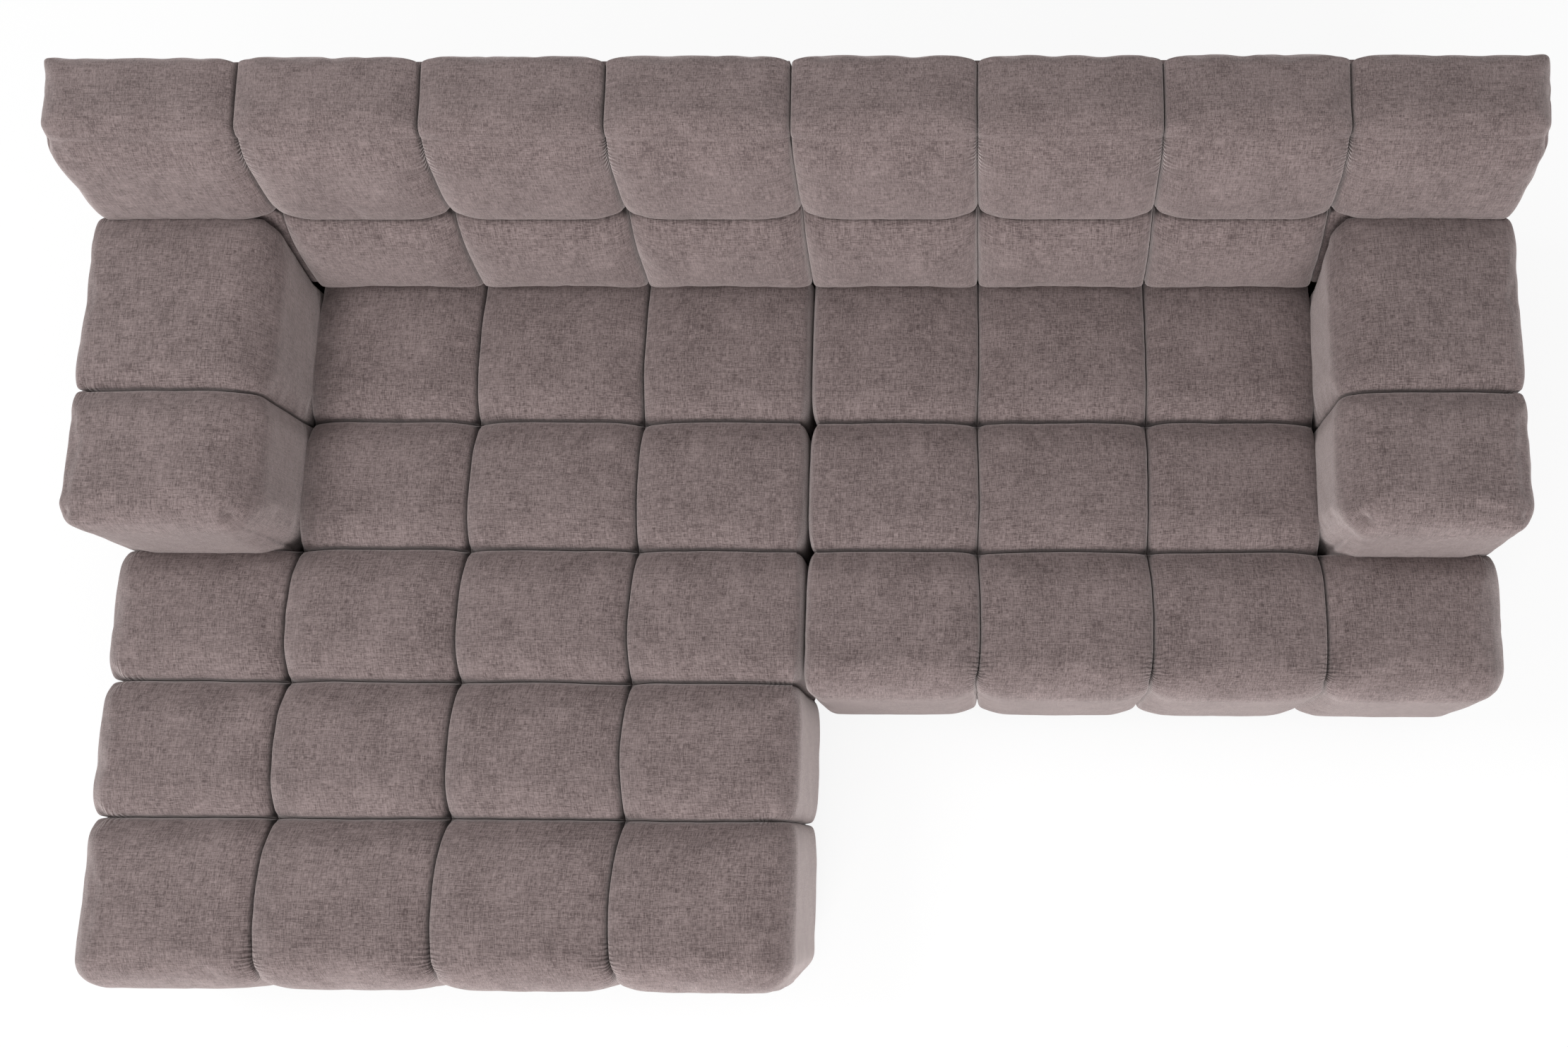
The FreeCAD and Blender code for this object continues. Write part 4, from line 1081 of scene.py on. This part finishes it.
# %% Grain group and hard materials
def make_grain_group():
    """Grain of sawn wood or brushed metal, drawn out along x."""
    group = bpy.data.node_groups.new("wood_grain", "ShaderNodeTree")
    group.interface.new_socket("Vector", in_out="INPUT", socket_type="NodeSocketVector")
    group.interface.new_socket("Grain", in_out="OUTPUT", socket_type="NodeSocketFloat")
    inside = add_node(group, "NodeGroupInput")
    outside = add_node(group, "NodeGroupOutput")
    rings = stretched_noise(group, inside.outputs[0], (5, 60, 60), detail=4.0)
    pores = stretched_noise(group, inside.outputs[0], (40, 700, 700), detail=2.0)
    banded = math_node(group, "FRACT", math_node(group, "MULTIPLY", rings, 7.0), 0)
    mixed = math_node(group, "ADD", math_node(group, "MULTIPLY", banded, 0.6),
                      math_node(group, "MULTIPLY", pores, 0.5))
    wire(group, mixed, outside.inputs["Grain"])
    return group


GRAIN = make_grain_group()


def grained(name, dark, light, rough, metal=0.0, turn=0.0, relief=0.0003):
    """A hard material with grain. turn spins the grain about y, so that it can run up a leg."""
    material = bpy.data.materials.new(name)
    material.use_nodes = True
    tree = material.node_tree
    shader = tree.nodes["Principled BSDF"]
    place = add_node(tree, "ShaderNodeTexCoord")
    spun = add_node(tree, "ShaderNodeMapping")
    spun.inputs["Rotation"].default_value = (0, turn, 0)
    wire(tree, place.outputs["Object"], spun.inputs["Vector"])
    grain = add_node(tree, "ShaderNodeGroup", node_tree=GRAIN)
    wire(tree, spun.outputs[0], grain.inputs[0])
    ramp = add_node(tree, "ShaderNodeValToRGB")
    ramp.color_ramp.elements[0].color = (*dark, 1)
    ramp.color_ramp.elements[1].color = (*light, 1)
    wire(tree, grain.outputs[0], ramp.inputs[0])
    wire(tree, ramp.outputs[0], shader.inputs["Base Color"])
    bump = add_node(tree, "ShaderNodeBump")
    bump.inputs["Distance"].default_value = relief
    bump.inputs["Strength"].default_value = 0.4
    wire(tree, grain.outputs[0], bump.inputs["Height"])
    wire(tree, bump.outputs[0], shader.inputs["Normal"])
    shader.inputs["Roughness"].default_value = rough
    shader.inputs["Metallic"].default_value = metal
    return material


PINE = grained("sawn_softwood", (0.38, 0.23, 0.11), (0.66, 0.47, 0.28), 0.7)
STAINED = grained("stained_leg", (0.018, 0.010, 0.006), (0.075, 0.042, 0.024), 0.35, turn=math.pi / 2)
STEEL = grained("plated_steel", (0.42, 0.42, 0.43), (0.62, 0.62, 0.63), 0.32, metal=1.0, relief=0.0001)
print("hard materials:", [item.name for item in (PINE, STAINED, STEEL)])


# %% [markdown]
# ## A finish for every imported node
# The nodes are named for what they are, so the end of a name is enough to choose the finish. Whatever isn't
# cloth, felt, leg or steel is softwood.

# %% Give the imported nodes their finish
def finish_for(node):
    """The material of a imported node, chosen by its name."""
    if node.endswith("rear_board"):
        return REAR_CLOTH
    if node.endswith("dust_cover"):
        return DUST
    if node.endswith("straps"):
        return STRAP
    if node.endswith("glides"):
        return FELT
    if node.endswith("_leg"):
        return STAINED
    if node.endswith(("bolts", "leg_plates")) or node.startswith("connector"):
        return STEEL
    return PINE


for node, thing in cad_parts.items():
    thing.data.materials.clear()
    thing.data.materials.append(finish_for(node))
finishes = [finish_for(node).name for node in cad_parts]
print({name: finishes.count(name) for name in sorted(set(finishes))})


# %% [markdown]
# ## Sewing it all together
# Each cover is made, smoothed once and put on the unit that carries it. It stands for the plain pad of the
# imported model, which stays behind for weight and contact. It takes the place of the plain pad of the
# imported model, which is hidden and stays behind.

# %% Make the covers
def dress(piece, unit, node):
    """Finishes a cover, hides the pad it stands for and puts it on the body that carries it."""
    plump(piece)
    finish_cover(piece)
    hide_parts(node)
    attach(piece, f"{unit}_unit")
    print(piece.name, len(piece.data.polygons), "faces")


for unit in UNITS:
    dress(seat_cover(unit), unit, f"{unit}_seat_pad")
    dress(arm_cover(unit), unit, f"{unit}_arm_pad")
    dress(back_cover(unit), unit, f"{unit}_back_pad")


# %% [markdown]
# ## Floor and light
# The sofa stands on a plain white floor under broad soft lamps. Most of the white that the camera sees there
# is the floor's own glow, which only the camera and reflections see. The rest takes the lamps and the shadow.

# %% Floor
FLOOR_WIDE = 60
FLOOR_GAP = 0.0005
FLOOR_GLOW = 0.85
bpy.ops.object.select_all(action="DESELECT")
bpy.ops.mesh.primitive_plane_add(size=FLOOR_WIDE, location=(0, 0, -FLOOR_GAP))
floor = bpy.context.object
floor.name = "floor"
paper = bpy.data.materials.new("white_floor")
paper.use_nodes = True
tree = paper.node_tree
shader = tree.nodes["Principled BSDF"]
shader.inputs["Base Color"].default_value = (0.93, 0.93, 0.93, 1)
shader.inputs["Roughness"].default_value = 0.9
glow = add_node(tree, "ShaderNodeEmission")
glow.inputs["Strength"].default_value = 1.0
rays = add_node(tree, "ShaderNodeLightPath")
seen = math_node(tree, "MAXIMUM", rays.outputs["Is Camera Ray"], rays.outputs["Is Glossy Ray"])
share = math_node(tree, "MULTIPLY", seen, FLOOR_GLOW)
blend = add_node(tree, "ShaderNodeMixShader")
wire(tree, share, blend.inputs[0])
wire(tree, shader.outputs[0], blend.inputs[1])
wire(tree, glow.outputs[0], blend.inputs[2])
wire(tree, blend.outputs[0], tree.nodes["Material Output"].inputs["Surface"])
floor.data.materials.append(paper)
print("floor, m:", [round(side, 1) for side in floor.dimensions])


# %% [markdown]
# ## Lamps
# A key lamp high on the left and a wide one in front stand in for the soft studio light. The world fills
# the shadows. The camera sees the world as plain white, through a second background with a strength of 1.

# %% Lamps and world
FILL = 0.60


def lamp(name, place, aim, size, power):
    """A rectangular area lamp at a place, turned to look at aim."""
    data = bpy.data.lights.new(name, "AREA")
    data.shape = "RECTANGLE"
    data.size, data.size_y = size
    data.energy = power
    thing = bpy.data.objects.new(name, data)
    way = Vector(aim) - Vector(place)
    thing.rotation_euler = way.to_track_quat("-Z", "Y").to_euler()
    thing.location = place
    bpy.context.scene.collection.objects.link(thing)


lamp("key", (-2.6, 0.4, 4.2), (0, 0, 0.3), (1.8, 1.8), 80)
lamp("front", (0.4, -5.0, 2.4), (0, 0, 0.4), (4.5, 2.0), 280)
world = bpy.data.worlds.new("studio")
bpy.context.scene.world = world
world.use_nodes = True
air = world.node_tree.nodes["Background"]
air.inputs["Color"].default_value = (1, 1, 1, 1)
air.inputs["Strength"].default_value = FILL
seen_air = add_node(world.node_tree, "ShaderNodeBackground")
seen_air.inputs["Color"].default_value = (1, 1, 1, 1)
rays = add_node(world.node_tree, "ShaderNodeLightPath")
either = add_node(world.node_tree, "ShaderNodeMixShader")
wire(world.node_tree, rays.outputs["Is Camera Ray"], either.inputs[0])
wire(world.node_tree, air.outputs[0], either.inputs[1])
wire(world.node_tree, seen_air.outputs[0], either.inputs[2])
wire(world.node_tree, either.outputs[0], world.node_tree.nodes["World Output"].inputs["Surface"])
